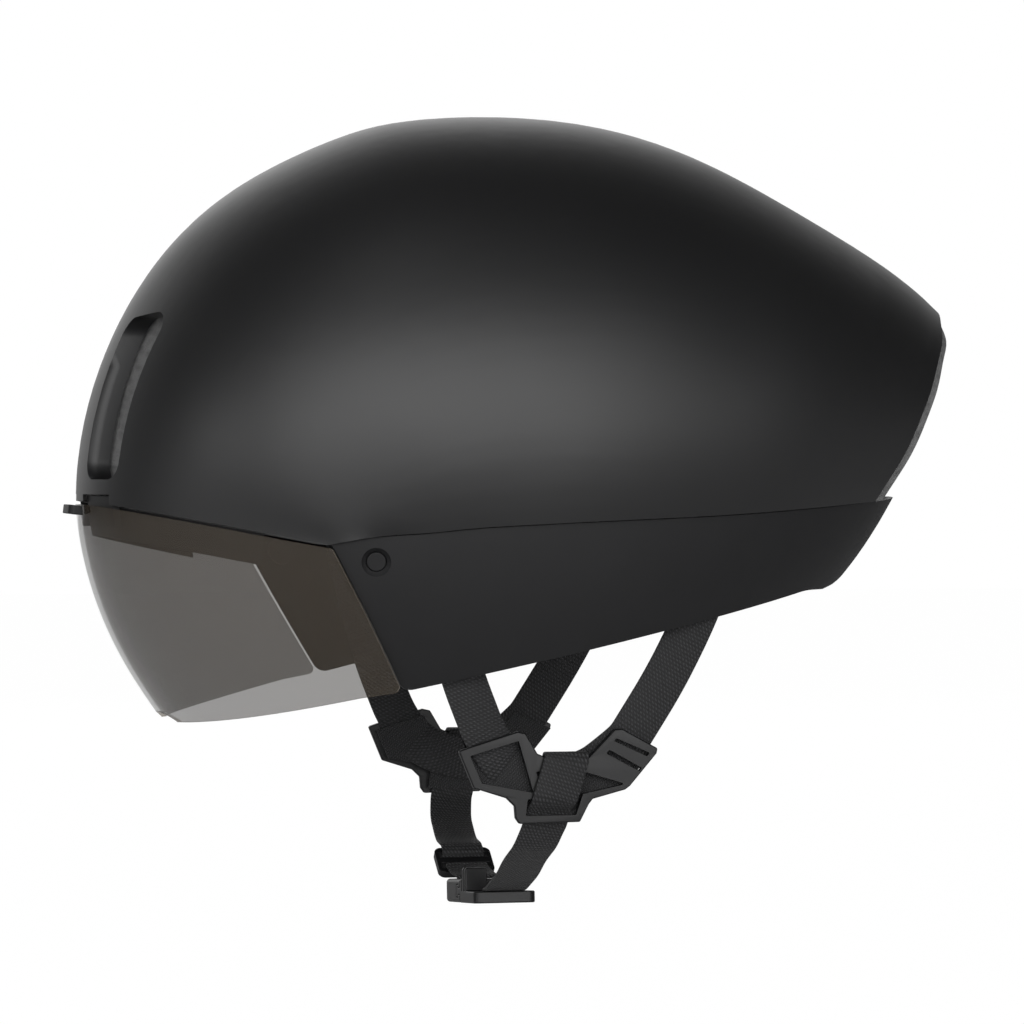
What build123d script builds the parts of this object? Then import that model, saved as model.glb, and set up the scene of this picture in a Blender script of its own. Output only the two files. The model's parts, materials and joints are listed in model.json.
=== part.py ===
from build123d import *
import math
import os

# Aero time trial helmet. The nose points along -X, the crown along +Z, the wearer's left is -Y.
# The origin is the centre of the head opening, level with the brow. Lengths are millimetres.

# Outer shell, from which everything else takes its places
shell_length = 310.0
crown_height = 137.0
half_width = 108.0
skirt_depth = 100.0
shell_wall = 1.6
skirt_wall = 1.8
skirt_inset = 0.9
bond_gap = 0.3
seam_gap = 0.3
overrun = 12.0

# Ribs of the hood from below the brow to behind the tail. Each rib lies in its own plane
# across the helmet, with two feet on the lower edge and its apex on the crown line
apex_x_shares = (-0.411, -0.414, -0.401, -0.363, -0.301, -0.203, -0.083,
                 0.054, 0.198, 0.331, 0.466, 0.597, 0.694)
apex_z_shares = (-0.088, 0.0, 0.234, 0.464, 0.672, 0.848, 0.966,
                 1.001, 0.972, 0.869, 0.709, 0.507, 0.336)
foot_x_shares = (-0.178, -0.182, -0.158, -0.126, -0.081, -0.032, 0.023,
                 0.087, 0.161, 0.248, 0.355, 0.479, 0.590)
foot_z_shares = (-0.194, -0.106, -0.095, -0.084, -0.077, -0.066, -0.058,
                 -0.051, -0.044, -0.036, -0.022, -0.001, 0.020)
foot_y_shares = (0.826, 0.840, 0.858, 0.880, 0.905, 0.926, 0.938,
                 0.940, 0.916, 0.858, 0.744, 0.532, 0.350)
belly_y_shares = (0.915, 0.928, 0.872, 0.888, 0.928, 0.968, 0.989,
                  0.995, 0.972, 0.912, 0.792, 0.574, 0.385)
belly_height_shares = (-0.89, -0.89, -0.200, 0.060, 0.155, 0.205, 0.225,
                       0.230, 0.240, 0.245, 0.250, 0.250, 0.250)
rib_roundness = 2.12
arch_shares = (0.30, 0.56, 0.76, 0.90, 0.975)

# Tail edge of the shell, a curve in side view, and how far the foam stands out behind it
tail_x_shares = (0.620, 0.5955, 0.577, 0.571, 0.558, 0.542, 0.526, 0.508, 0.490, 0.473, 0.460)
tail_z_shares = (0.545, 0.505, 0.463, 0.427, 0.375, 0.298, 0.222, 0.139, 0.070, 0.001, -0.060)
foam_rim = 4.0

# Plan outlines of the lower form at levels from above the seam to below the visor
level_z_shares = (0.14, -0.06, -0.26, -0.46, -0.66, -0.86)
level_nose_shares = (-0.4106, -0.4097, -0.3974, -0.3745, -0.3390, -0.2935)
level_tail_shares = (0.571, 0.533, 0.487, 0.423, 0.345, 0.258)
level_y_shares = (0.954, 0.931, 0.889, 0.824, 0.736, 0.630)
widest_share = 0.026
nose_roundness = 2.15
tail_roundness = 2.10
plan_points = 16

# Front vents, one each side of the nose, with the hood's lip turned in round them
vent_inner = 12.0
vent_outer_low = 37.5
vent_outer_high = 43.0
vent_floor = 7.5
vent_roof = 66.0
vent_roof_rise = 2.5
vent_corner = 7.0
lip_wall = 1.4
lip_depth = 8.0
foam_step = 1.2
foam_facet_out = 2.5
foam_lean_share = 0.27
foam_face_share = -0.381
foam_facet_share = -0.354

# Head cavity, and the comfort pads that line it
head_half_length = 99.0
head_half_width = 78.0
head_half_height = 83.0
head_middle = 4.0
head_level = 30.0
pad_thickness = 5.0
pad_gap = 0.3
pad_round = 1.6
brow_pad_low = -1.0
brow_pad_high = 15.0
brow_pad_half_width = 50.0
crown_pad_length = 96.0
crown_pad_width = 24.0
crown_pad_out = 24.0
side_pad_length = 70.0
side_pad_height = 22.0
side_pad_level = 38.0

# Exhaust through the foam at the tail
tunnel_wall = 12.0
tunnel_floor = 8.0
tunnel_roof = 54.0
tunnel_half_width = 42.0
tunnel_start = 92.0

# Skirt round the ears and the nape, in side view: shares of shell_length and skirt_depth
skirt_front_top_share = (-0.2365, 0.200)
skirt_front_low_share = (-0.0895, -0.648)
skirt_rear_low_share = (0.3950, -0.316)
skirt_front_corner = 4.5
skirt_rear_corner = 30.0
skirt_tail_corner = 22.0

# Parking pins for the visor, one in each side of the skirt
park_x_share = -0.130
park_z_share = -0.203
park_diameter = 6.7
park_gap = 0.25
park_flange = 10.0
park_flange_thickness = 1.0
park_dimple = 10.0
park_dimple_depth = 0.7
park_proud = 0.3

# Visor lens in side view: shares of shell_length and skirt_depth
lens_wall = 1.8
lens_proud = 1.1
lens_rear_top_share = (-0.1850, -0.156)
lens_rear_low_share = (-0.0995, -0.646)
lens_low_shares = ((-0.178, -0.699), (-0.256, -0.748), (-0.335, -0.784), (-0.420, -0.800))
lens_corner = 2.0
nose_arch_half_width = 18.0
nose_arch_height = 4.0
tab_width = 17.0
tab_reach = 4.8
tab_thickness = 3.2
tab_drop = 2.2
tab_lean = 7.0
tab_corner = 2.4

# Magnet clips of the visor and the seat behind them
clip_inner = 9.0
clip_outer = 32.0
clip_rise = 1.8
clip_drop = 9.0
clip_thickness = 2.4
clip_bond = 0.1
notch_gap = 0.5
notch_depth = 9.0
magnet_out = 20.5
magnet_diameter = 6.0
magnet_thickness = 1.5
magnet_bond = 0.05
seat_drop = 11.0
seat_thickness = 3.0
seat_gap = 0.4
seat_end_share = -0.245

# Comfort fit: a cradle behind the head, two toothed bands and a dial that draws them together
fit_axis_x = 30.0
fit_level = -18.0
cradle_radius = 73.4
cradle_wall = 1.8
cradle_low = -34.0
cradle_high = -2.0
cradle_spread = 30.0
cradle_window_start = 15.0
cradle_window_end = 26.0
cradle_window_margin = 6.0
cradle_corner = 4.0
hanger_spread = 8.0
hanger_top = 5.5
hanger_out = 4.4
band_gap = 0.6
band_wall = 1.2
band_split = 0.3
band_height = 20.0
band_side_height = 12.0
band_tail = 18.0
band_wide_end = 24.0
band_end = 85.0
rack_spread = 15.5
guide_angle = 62.0
guide_spread = 3.5
guide_wall = 1.5
guide_gap = 0.3
guide_flange = 6.0
guide_top = -5.9
gear_module = 1.0
pinion_teeth = 10
pressure_angle = 25.0
addendum_share = 0.8
dedendum_share = 1.0
flank_backlash = 0.15
rack_teeth_count = 12
housing_gap = 0.5
housing_wall = 1.6
housing_spread = 14.0
housing_rail_gap = 0.3
housing_rail = 3.6
screw_angle = 11.0
screw_radius = 1.0
screw_head_radius = 1.9
screw_head = 1.1
screw_bite = 1.2
dial_radius = 12.0
dial_thickness = 7.5
dial_gap = 0.4
dial_notches = 18
dial_notch_radius = 1.1
dial_round = 1.0
dial_dish_radius = 7.0
dial_dish_depth = 1.2
shaft_radius = 2.4
shaft_clearance = 0.05
pinion_bond = 0.02
nape_pad_thickness = 3.4
nape_pad_spread = 24.0
nape_pad_low = -31.0
nape_pad_high = -5.0

# Harness: webbing, the dividers under the ears and the buckle under the chin
harness_depth = 145.0
web_width = 15.5
web_thickness = 1.3
divider_out = 76.0
divider_thickness = 2.6
divider_width = 70.0
divider_depth = 32.0
divider_middle_x = 26.0
divider_middle_z = -94.5
divider_round = 0.8
anchor_length = 21.0
anchor_width = 8.0
anchor_height = 7.0
anchor_gap = 0.3
front_anchor_x_share = -0.060
front_anchor_out_share = 0.690
front_anchor_z_share = -0.080
rear_anchor_x_share = 0.285
rear_anchor_out_share = 0.630
rear_anchor_z_share = -0.038

# Webbing runs of one side as shares of shell_length, half_width and harness_depth
front_run_shares = ((-0.056, 0.690, -0.1065), (-0.056, 0.690, -0.135), (-0.0225, 0.686, -0.410),
                    (0.0030, 0.683, -0.548), (0.022, 0.683, -0.612), (0.045, 0.648, -0.648),
                    (0.075, 0.648, -0.667), (0.112, 0.648, -0.676))
rear_run_shares = ((0.285, 0.630, -0.0640), (0.285, 0.630, -0.095), (0.246, 0.668, -0.283),
                   (0.210, 0.682, -0.426), (0.167, 0.683, -0.569), (0.150, 0.676, -0.600),
                   (0.128, 0.648, -0.640), (0.090, 0.648, -0.664))
chin_run_shares = ((0.0970, 0.664, -0.670), (0.0955, 0.664, -0.612), (0.0950, 0.682, -0.5975),
                   (0.0945, 0.715, -0.5975), (0.0935, 0.728, -0.612), (0.0860, 0.728, -0.665),
                   (0.0795, 0.7275, -0.707), (0.0770, 0.680, -0.734), (0.0720, 0.671, -0.772),
                   (0.0670, 0.615, -0.822), (0.0640, 0.505, -0.862))
left_end_shares = ((0.0670, 0.370, -0.906), (0.0671, 0.255, -0.937), (0.0671, 0.205, -0.9505),
                   (0.0671, 0.172, -0.9530), (0.0671, 0.162, -0.976))
right_end_shares = ((0.0632, 0.470, -0.871), (0.0632, 0.404, -0.878), (0.0632, 0.3835, -0.886),
                    (0.0632, 0.3695, -0.8966), (0.0632, 0.379, -0.9124))
link_run_shares = ((0.0632, 0.336, -0.9355), (0.0632, 0.319, -0.9228), (0.0632, 0.301, -0.9307),
                   (0.0650, 0.273, -0.9393), (0.0668, 0.2426, -0.9441), (0.0671, 0.2148, -0.9455),
                   (0.0671, 0.1935, -0.9510), (0.0671, 0.1917, -0.9697))

# Divider in side view: shares of its width and depth about its middle
divider_shares = ((-0.496, 0.290), (-0.440, 0.330), (-0.200, 0.490), (-0.160, 0.470), (-0.100, 0.250),
                  (-0.050, 0.205), (0.160, 0.205), (0.290, 0.500), (0.330, 0.505), (0.510, 0.290),
                  (0.505, 0.235), (0.370, -0.110), (0.345, -0.150), (0.180, -0.245), (0.160, -0.300),
                  (0.115, -0.490), (-0.190, -0.500), (-0.210, -0.440), (-0.215, -0.310),
                  (-0.255, -0.225), (-0.420, -0.110))
front_window_shares = ((-0.440, 0.235), (-0.195, 0.390), (-0.120, -0.170), (-0.380, -0.060))
rear_slot_shares = ((0.300, 0.405), (0.470, 0.240), (0.455, 0.205), (0.285, 0.375))
rear_lower_slot_shares = ((0.265, 0.280), (0.430, 0.080), (0.415, 0.045), (0.245, 0.245))
chin_window_shares = ((-0.110, 0.060), (0.120, 0.060), (0.350, -0.090), (0.130, -0.190),
                      (0.095, -0.415), (-0.160, -0.415), (-0.150, -0.240), (-0.060, -0.200))

# Snap buckle: a body on the right, a tongue on the left that leaves it sideways, forward
buckle_x = 20.8
buckle_y = 2.0
buckle_z = -140.6
buckle_tilt = 4.5
buckle_width = 22.5
buckle_height = 8.4
body_length = 23.0
body_corner = 2.6
tongue_length = 24.0
tongue_height = 4.2
tongue_gap = 0.3
rib_neck = 2.4
rib_neck_length = 3.0
rib_head = 4.4
rib_head_length = 2.4
rib_gap = 0.25
rib_stop = 3.0
bar_width = 2.8
bar_slot = 3.4
grip_depth = 8.0
grip_rise = 5.2
grip_ridges = 2
grip_ridge_width = 2.0
buckle_magnet_radius = 2.5
buckle_magnet_thickness = 1.5
adjuster_x = 19.6
adjuster_y = 38.5
adjuster_z = -133.6
adjuster_tilt = 35.0
adjuster_width = 21.0
adjuster_length = 14.0
adjuster_thickness = 2.8
adjuster_slot = 3.0

base_align = (Align.CENTER, Align.CENTER, Align.MIN)


def rib_points(index, inset):
    """Points of one rib's arch from the left foot over the crown to the right foot."""
    foot = Vector(foot_x_shares[index] * shell_length, 0, foot_z_shares[index] * crown_height)
    apex = Vector(apex_x_shares[index] * shell_length, 0, apex_z_shares[index] * crown_height)
    height = (apex - foot).length
    up = (apex - foot).normalized()
    belly = belly_y_shares[index] * half_width - inset
    foot_y = foot_y_shares[index] * half_width - inset
    belly_at = belly_height_shares[index]
    top = height - inset

    def width_at(share):
        reach = abs(share - belly_at)
        if share >= belly_at:
            return belly * (1 - (reach / (1 - belly_at)) ** rib_roundness) ** (1 / rib_roundness)
        return belly - (belly - foot_y) * (reach / belly_at) ** 2

    base = width_at(0)
    probe = arch_shares[0] / 10
    slope = (width_at(probe) - base) / (probe * top)
    half = [(base - slope * overrun, -overrun), (base, 0)]
    half += [(width_at(share), share * top) for share in arch_shares]
    left = [foot + up * rise + Vector(0, -out, 0) for out, rise in half]
    right = [foot + up * rise + Vector(0, out, 0) for out, rise in reversed(half)]
    return left + [foot + up * top] + right


def shares_along(points):
    """How far along its chords each point lies, from 0 to 1."""
    steps = [(ahead - here).length for here, ahead in zip(points, points[1:])]
    return [sum(steps[:count]) / sum(steps) for count in range(len(points))]


def hood(inset):
    """Filled form of the upper shell, drawn in by inset and running on below its lower edge.

    Every rib shares the spacing of the middle one, so that the skin between them stays light.
    """
    count = len(apex_x_shares)
    spacing = shares_along(rib_points(count // 2, inset))
    ribs = []
    for index in range(count):
        points = rib_points(index, inset)
        arch = Edge.make_spline(points, parameters=spacing)
        ribs.append(make_face([arch, Line(points[-1], points[0])]))
    return loft(ribs)


def plan_outline(index, inset):
    """Points of the egg-shaped plan of the lower form at one level."""
    level = level_z_shares[index] * skirt_depth
    middle = widest_share * shell_length
    nose = middle - level_nose_shares[index] * shell_length - inset
    tail = level_tail_shares[index] * shell_length - middle - inset
    out = level_y_shares[index] * half_width - inset
    points = []
    for step in range(plan_points):
        angle = 2 * math.pi * step / plan_points
        along, across = math.cos(angle), math.sin(angle)
        roundness = tail_roundness if along > 0 else nose_roundness
        reach = tail if along > 0 else nose
        x = middle + math.copysign(abs(along) ** (2 / roundness), along) * reach
        y = math.copysign(abs(across) ** (2 / roundness), across) * out
        points.append(Vector(x, y, level))
    return points


def lower_form(inset):
    """Filled form of the skirt and visor, drawn in by inset, with one spacing for all its levels."""
    count = len(level_z_shares)
    first = plan_outline(0, inset)
    spacing = shares_along(first + first[:1])
    levels = []
    for index in range(count):
        points = plan_outline(index, inset)
        levels.append(make_face(Edge.make_spline(points, periodic=True, parameters=spacing)))
    return loft(levels)


def across(points_or_edges):
    """Solid of a side-view face, running right across the helmet."""
    face = make_face(points_or_edges)
    return extrude(face, amount=half_width + overrun, dir=(0, 1, 0), both=True)


def side_point(share):
    """Point of a side view from shares of the shell's length and the skirt's depth."""
    return Vector(share[0] * shell_length, 0, share[1] * skirt_depth)


def seam_points():
    """Side view of the line between hood and skirt, from the end of the brow to the tail."""
    pairs = list(zip(foot_x_shares, foot_z_shares))[1:]
    return [Vector(x * shell_length, 0, z * crown_height) for x, z in pairs]


def brow_slope():
    """Fall of the brow line for each unit back from the nose."""
    run = (foot_x_shares[1] - apex_x_shares[1]) * shell_length
    return -(foot_z_shares[1] - apex_z_shares[1]) * crown_height / run


def brow_level(x):
    """Height of the brow line at a place along the helmet."""
    return apex_z_shares[1] * crown_height - (x - apex_x_shares[1] * shell_length) * brow_slope()


def above_seam(lift=0):
    """Everything over the brow line and the seam, raised by lift."""
    feet = [point + Vector(0, 0, lift) for point in seam_points()]
    nose_x = apex_x_shares[1] * shell_length - overrun
    nose = Vector(nose_x, 0, brow_level(nose_x) + lift)
    sky = crown_height + overrun
    rest = Polyline(feet[-1], (feet[-1].X, 0, sky), (nose_x, 0, sky), nose)
    return across([Line(nose, feet[0]), Spline(*feet), rest])


def before_tail(stand_out=0):
    """Everything ahead of the tail edge, moved back by stand_out below its top."""
    points = []
    for index, (x, z) in enumerate(zip(tail_x_shares, tail_z_shares)):
        share = min(1, index / 3)
        points.append(Vector(x * shell_length + stand_out * share, 0, z * crown_height))
    front, floor = -shell_length, -skirt_depth
    sky = crown_height + overrun
    rest = Polyline(points[-1], (points[-1].X, 0, floor), (front, 0, floor), (front, 0, sky),
                    (points[0].X, 0, sky), points[0])
    return across([Spline(*points), rest])


def vent_prism(side, grow):
    """Front vent opening as a bar along X through the nose; side is -1 for left."""
    low, high = vent_floor - grow, vent_roof + grow
    front = (apex_x_shares[1] * shell_length) - overrun
    corners = Polyline(
        (front, side * (vent_inner - grow), low),
        (front, side * (vent_inner - grow), high - vent_roof_rise),
        (front, side * (vent_outer_high + grow), high),
        (front, side * (vent_outer_low + grow), low),
        close=True,
    )
    face = make_face(corners)
    face = fillet(face.vertices(), vent_corner + grow)
    return extrude(face, amount=-front - tunnel_start / 2, dir=(1, 0, 0))


def clip_notch(side, grow):
    """Room for one visor clip in the lower front edge of the hood and the foam."""
    wide = clip_outer - clip_inner + 2 * (notch_gap + grow)
    middle = (clip_inner + clip_outer) / 2
    nose = apex_x_shares[1] * shell_length
    depth = 2 * (notch_depth + lens_proud + clip_thickness)
    level = brow_level(nose)
    slot = Box(depth + grow, wide, 2 * (clip_rise + notch_gap))
    return Pos(nose, side * middle, level) * slot


def upper_shell():
    """Thin hood with its two front vents, their turned-in lips and the visor clip notches."""
    skin = hood(0)
    hollow = hood(shell_wall)
    deep = Pos(lip_depth, 0, 0) * skin
    for side in (-1, 1):
        collar = (vent_prism(side, lip_wall) & skin) - deep
        hollow = hollow - collar
    shell = (skin - hollow) & above_seam() & before_tail()
    for side in (-1, 1):
        shell = shell - vent_prism(side, 0) - clip_notch(side, 0)
    return shell


def head_form(grow):
    """Space for the head: half an egg over a straight well, larger by grow."""
    length = head_half_length + grow
    width = head_half_width + grow
    dome = scale(Sphere(1), by=(length, width, head_half_height + grow))
    well = extrude(Ellipse(length, width), amount=-skirt_depth)
    return Pos(head_middle, 0, head_level) * (dome + well)


def vent_channel(side):
    """Air channel through the foam behind one front vent, with two facets on its inner wall."""
    grow = lip_wall + bond_gap
    front = apex_x_shares[1] * shell_length - 2 * overrun
    back = -tunnel_start / 2
    face_x = foam_face_share * shell_length
    facet_x = foam_facet_share * shell_length
    inner = vent_inner + foam_step
    outer = vent_outer_high + 2 * overrun
    low = vent_floor - overrun
    plan = Polyline(
        (front, side * (vent_inner - grow), low),
        (face_x, side * (vent_inner - grow), low),
        (face_x, side * inner, low),
        (facet_x, side * (inner + foam_facet_out), low),
        (back, side * vent_inner / 2, low),
        (back, side * outer, low),
        (front, side * outer, low),
        close=True,
    )
    lean = Vector(foam_lean_share, 0, 1)
    tall = (vent_roof + 2 * overrun) * lean.length
    return vent_prism(side, grow) & extrude(make_face(plan), amount=tall, dir=lean)


def tail_tunnel():
    """Exhaust from the head cavity out through the foam at the tail."""
    long = shell_length
    tall = tunnel_roof - tunnel_floor
    bar = Box(long, 2 * tunnel_half_width, tall)
    bar = fillet(bar.edges().filter_by(Axis.X), tunnel_wall)
    bar = Pos(tunnel_start + long / 2, 0, (tunnel_roof + tunnel_floor) / 2) * bar
    return bar & hood(shell_wall + bond_gap + tunnel_wall)


def liner():
    """Impact foam between hood and head, with vent channels and the exhaust."""
    foam = hood(shell_wall + bond_gap) & above_seam() & before_tail(foam_rim)
    foam = foam - head_form(pad_thickness + pad_gap)
    foam = foam - tail_tunnel()
    for side in (-1, 1):
        foam = foam - vent_channel(side) - clip_notch(side, bond_gap)
        foam = foam - anchor_room(side, front_anchor_x_share, front_anchor_out_share, front_anchor_z_share)
        foam = foam - anchor_room(side, rear_anchor_x_share, rear_anchor_out_share, rear_anchor_z_share)
    return foam


def plan_sizes(level):
    """Nose reach, tail reach and half width of the lower form at a height, before any inset."""
    middle = widest_share * shell_length
    place = level / skirt_depth
    rows = list(zip(level_z_shares, level_nose_shares, level_tail_shares, level_y_shares))
    for upper, lower in zip(rows, rows[1:]):
        if place >= lower[0]:
            break
    part = (upper[0] - place) / (upper[0] - lower[0])
    nose, tail, out = (a + (b - a) * part for a, b in zip(upper[1:], lower[1:]))
    return middle - nose * shell_length, tail * shell_length - middle, out * half_width


def side_of_form(x, level, inset):
    """Half width of the lower form ahead of its widest place."""
    nose, tail, out = plan_sizes(level)
    reach = (widest_share * shell_length - x) / (nose - inset)
    return (out - inset) * (1 - reach ** nose_roundness) ** (1 / nose_roundness)


def front_of_form(y, level, inset):
    """Place along X of the lower form's nose at a distance out from the middle."""
    nose, tail, out = plan_sizes(level)
    share = (1 - (y / (out - inset)) ** nose_roundness) ** (1 / nose_roundness)
    return widest_share * shell_length - share * (nose - inset)


def form_tail(level):
    """Hindmost point of the lower form at a height."""
    nose, tail, out = plan_sizes(level)
    return Vector(widest_share * shell_length + tail, 0, level)


def skirt_side_view():
    """Side view of the skirt below the seam."""
    front_low, rear_low = side_point(skirt_front_low_share), side_point(skirt_rear_low_share)
    front_top = side_point(skirt_front_top_share)
    tail_low = form_tail(rear_low.Z) + Vector(skirt_inset, 0, 0)
    tail_high = tail_low + (form_tail(0) - form_tail(rear_low.Z)) * (1 - front_top.Z / rear_low.Z)
    face = make_face(Polyline(front_top, front_low, rear_low, tail_low, tail_high, close=True))
    corners = face.vertices().sort_by(Axis.Z)
    face = fillet(corners[0], skirt_front_corner)
    rear = face.vertices().sort_by_distance(rear_low)[0]
    face = fillet(rear, skirt_rear_corner)
    tail = face.vertices().sort_by_distance(tail_low)[0]
    face = fillet(tail, skirt_tail_corner)
    body = extrude(face, amount=half_width + overrun, dir=(0, 1, 0), both=True)
    return body - above_seam(-seam_gap)


def park_place(side, depth):
    """Location on the skirt for one parking pin, facing out, sunk by depth."""
    x, level = park_x_share * shell_length, park_z_share * skirt_depth
    step = park_diameter
    here = side_of_form(x, level, skirt_inset)
    along = (side_of_form(x + step, level, skirt_inset) - here) / step
    down = (here - side_of_form(x, level - step, skirt_inset)) / step
    out = Vector(-along, 1, -down).normalized()
    out = Vector(out.X, side * out.Y, out.Z)
    return Plane(Vector(x, side * here, level) - out * depth, z_dir=out)


def left_half(shape):
    """The wearer's left half of a shape, cut through the middle of the helmet."""
    wide = half_width + overrun
    return shape & Pos(0, -wide / 2, 0) * Box(4 * shell_length, wide, 4 * shell_length)


def skirt():
    """Lower shell round ears and nape, with a dimple and a bore for each parking pin."""
    outer = left_half(skirt_side_view()) & lower_form(skirt_inset)
    half = outer - lower_form(skirt_inset + skirt_wall)
    dimple = Cylinder(park_dimple / 2, overrun, align=base_align)
    half = half - park_place(-1, park_dimple_depth) * dimple
    bore = Cylinder(park_diameter / 2 + park_gap, 2 * overrun, align=base_align)
    half = half - park_place(-1, overrun) * bore
    return half + mirror(half, Plane.XZ)


def park_pin(side):
    """Round magnetic pin that holds the parked visor, with a flange inside the skirt."""
    flange_depth = skirt_wall + park_gap + park_flange_thickness
    pin = Cylinder(park_diameter / 2, flange_depth - park_proud, align=base_align)
    pin = chamfer(pin.edges().group_by(Axis.Z)[-1], park_proud)
    pin = pin + Cylinder(park_flange / 2, park_flange_thickness, align=base_align)
    return park_place(side, flange_depth) * pin


def lens_side_view():
    """Side view of the visor lens."""
    nose_x = apex_x_shares[1] * shell_length - overrun
    rear_top = side_point(lens_rear_top_share)
    top_nose = Vector(nose_x, 0, rear_top.Z + (rear_top.X - nose_x) * brow_slope())
    rear_low = side_point(lens_rear_low_share)
    low = [side_point(share) for share in lens_low_shares]
    bottom = Spline(rear_low, *low)
    edges = [Line(top_nose, rear_top), Line(rear_top, rear_low), bottom, Line(low[-1], top_nose)]
    face = make_face(edges)
    corners = face.vertices().sort_by_distance(rear_low)
    face = fillet(corners[0], lens_corner)
    corner = face.vertices().sort_by_distance(rear_top)[0]
    face = fillet(corner, lens_corner)
    return extrude(face, amount=half_width + overrun, dir=(0, 1, 0), both=True)


def visor_lens():
    """Tinted one-piece lens from temple to temple with a shallow arch over the nose."""
    band = lower_form(-lens_proud) - lower_form(lens_wall - lens_proud)
    band = band & lens_side_view()
    low = side_point(lens_low_shares[-1])
    arch = Rot(0, 90, 0) * extrude(Ellipse(nose_arch_height, nose_arch_half_width), amount=skirt_depth)
    arch_level = side_point(lens_low_shares[-2]).Z
    return band - Pos(low.X, 0, arch_level) * arch


def grip_tab():
    """Small lip at the middle of the visor's top edge, to lift it by."""
    nose = front_of_form(0, -tab_drop, -lens_proud)
    long = tab_reach + overrun
    blade = Box(long, tab_width, tab_thickness)
    blade = fillet(blade.edges().filter_by(Axis.Z), tab_corner)
    blade = Rot(0, tab_lean, 0) * blade
    level = brow_level(nose) - tab_drop - tab_thickness / 2
    blade = Pos(nose - tab_reach + long / 2, 0, level) * blade
    return blade - lower_form(-lens_proud - clip_bond / 2)


def clip_inset():
    """Inset of the outer face of the visor clips, against the inside of the lens."""
    return lens_wall - lens_proud + clip_bond


def visor_clip(side):
    """Magnet clip behind the top edge of the lens, rising into the hood's notch."""
    inset = clip_inset()
    middle = (clip_inner + clip_outer) / 2
    nose = apex_x_shares[1] * shell_length
    tall = clip_rise + clip_drop
    block = Box(4 * overrun, clip_outer - clip_inner, tall)
    block = Pos(nose, side * middle, brow_level(nose) + clip_rise - tall / 2) * block
    bar = (lower_form(inset) - lower_form(inset + clip_thickness)) & block
    return bar - magnet_place(side, 0) * magnet_pocket()


def magnet_place(side, shift):
    """Location of a visor magnet's front face, facing back into the helmet, moved in by shift."""
    level = brow_level(apex_x_shares[1] * shell_length) - clip_drop / 2
    inset = clip_inset() + clip_thickness
    here = front_of_form(magnet_out, level, inset)
    step = magnet_diameter
    lean = (front_of_form(magnet_out + step, level, inset) - here) / step
    inward = Vector(1, -side * lean, 0).normalized()
    face = Vector(here, side * magnet_out, level) - inward * magnet_thickness
    return Plane(face + inward * shift, z_dir=inward)


def magnet_pocket():
    """Pocket for one visor magnet."""
    radius = magnet_diameter / 2 + magnet_bond
    return Cylinder(radius, magnet_thickness + overrun, align=base_align)


def magnet_pair(shift):
    """Two visor magnets, left and right, as separate solids."""
    discs = []
    for side in (-1, 1):
        disc = Cylinder(magnet_diameter / 2, magnet_thickness, align=base_align)
        discs.append(magnet_place(side, shift) * disc)
    return Compound(children=discs)


def seat_inset():
    """Inset of the front face of the visor seat."""
    return clip_inset() + clip_thickness + seat_gap


def visor_seat():
    """Dark rim under the brow that the visor's magnets close against."""
    inset = seat_inset()
    ring = lower_form(inset) - lower_form(inset + seat_thickness)
    nose_x = apex_x_shares[1] * shell_length - overrun
    end_x = seat_end_share * shell_length
    top = bond_gap
    view = Polyline(
        (nose_x, 0, brow_level(nose_x) - top),
        (end_x, 0, brow_level(end_x) - top),
        (end_x, 0, brow_level(end_x) - seat_drop),
        (nose_x, 0, brow_level(nose_x) - seat_drop),
        close=True,
    )
    seat = ring & across(view)
    back = magnet_thickness + seat_gap
    for side in (-1, 1):
        pocket = Cylinder(magnet_diameter / 2 + magnet_bond, magnet_thickness + magnet_bond,
                          align=base_align)
        lead = Cylinder(magnet_diameter / 2 + magnet_bond, overrun, align=base_align)
        seat = seat - magnet_place(side, back) * pocket
        seat = seat - magnet_place(side, back - overrun) * lead
    return seat


def head_pad(prism):
    """Soft pad between head and foam, cut out by a prism and rounded along its edges."""
    pad = (head_form(pad_thickness) - head_form(0)) & prism
    return fillet(pad.edges(), pad_round)


def brow_pad():
    """Pad across the forehead."""
    tall = brow_pad_high - brow_pad_low
    plan = extrude(SlotOverall(2 * brow_pad_half_width, tall), amount=2 * head_half_length)
    middle = Vector(0, 0, brow_pad_low + tall / 2)
    return head_pad(Plane(middle, x_dir=(0, 1, 0), z_dir=(-1, 0, 0)) * plan)


def crown_pad(side):
    """Long pad on one side of the crown."""
    plan = extrude(SlotOverall(crown_pad_length, crown_pad_width), amount=2 * head_half_height)
    return head_pad(Pos(head_middle, side * crown_pad_out, head_level) * plan)


def side_pad(side):
    """Pad over one temple."""
    plan = extrude(SlotOverall(side_pad_length, side_pad_height), amount=2 * half_width)
    return head_pad(Pos(head_middle, 0, side_pad_level) * Rot(side * -90, 0, 0) * plan)


def ring_piece(inner, outer, low, high, start, end):
    """Piece of an upright ring about the fit axis, between two angles from the rear."""
    near = CenterArc((0, 0), inner, start, end - start)
    far = CenterArc((0, 0), outer, start, end - start)
    face = make_face([near, Line(near @ 1, far @ 1), far, Line(far @ 0, near @ 0)])
    return Pos(fit_axis_x, 0, low) * extrude(face, amount=high - low)


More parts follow.
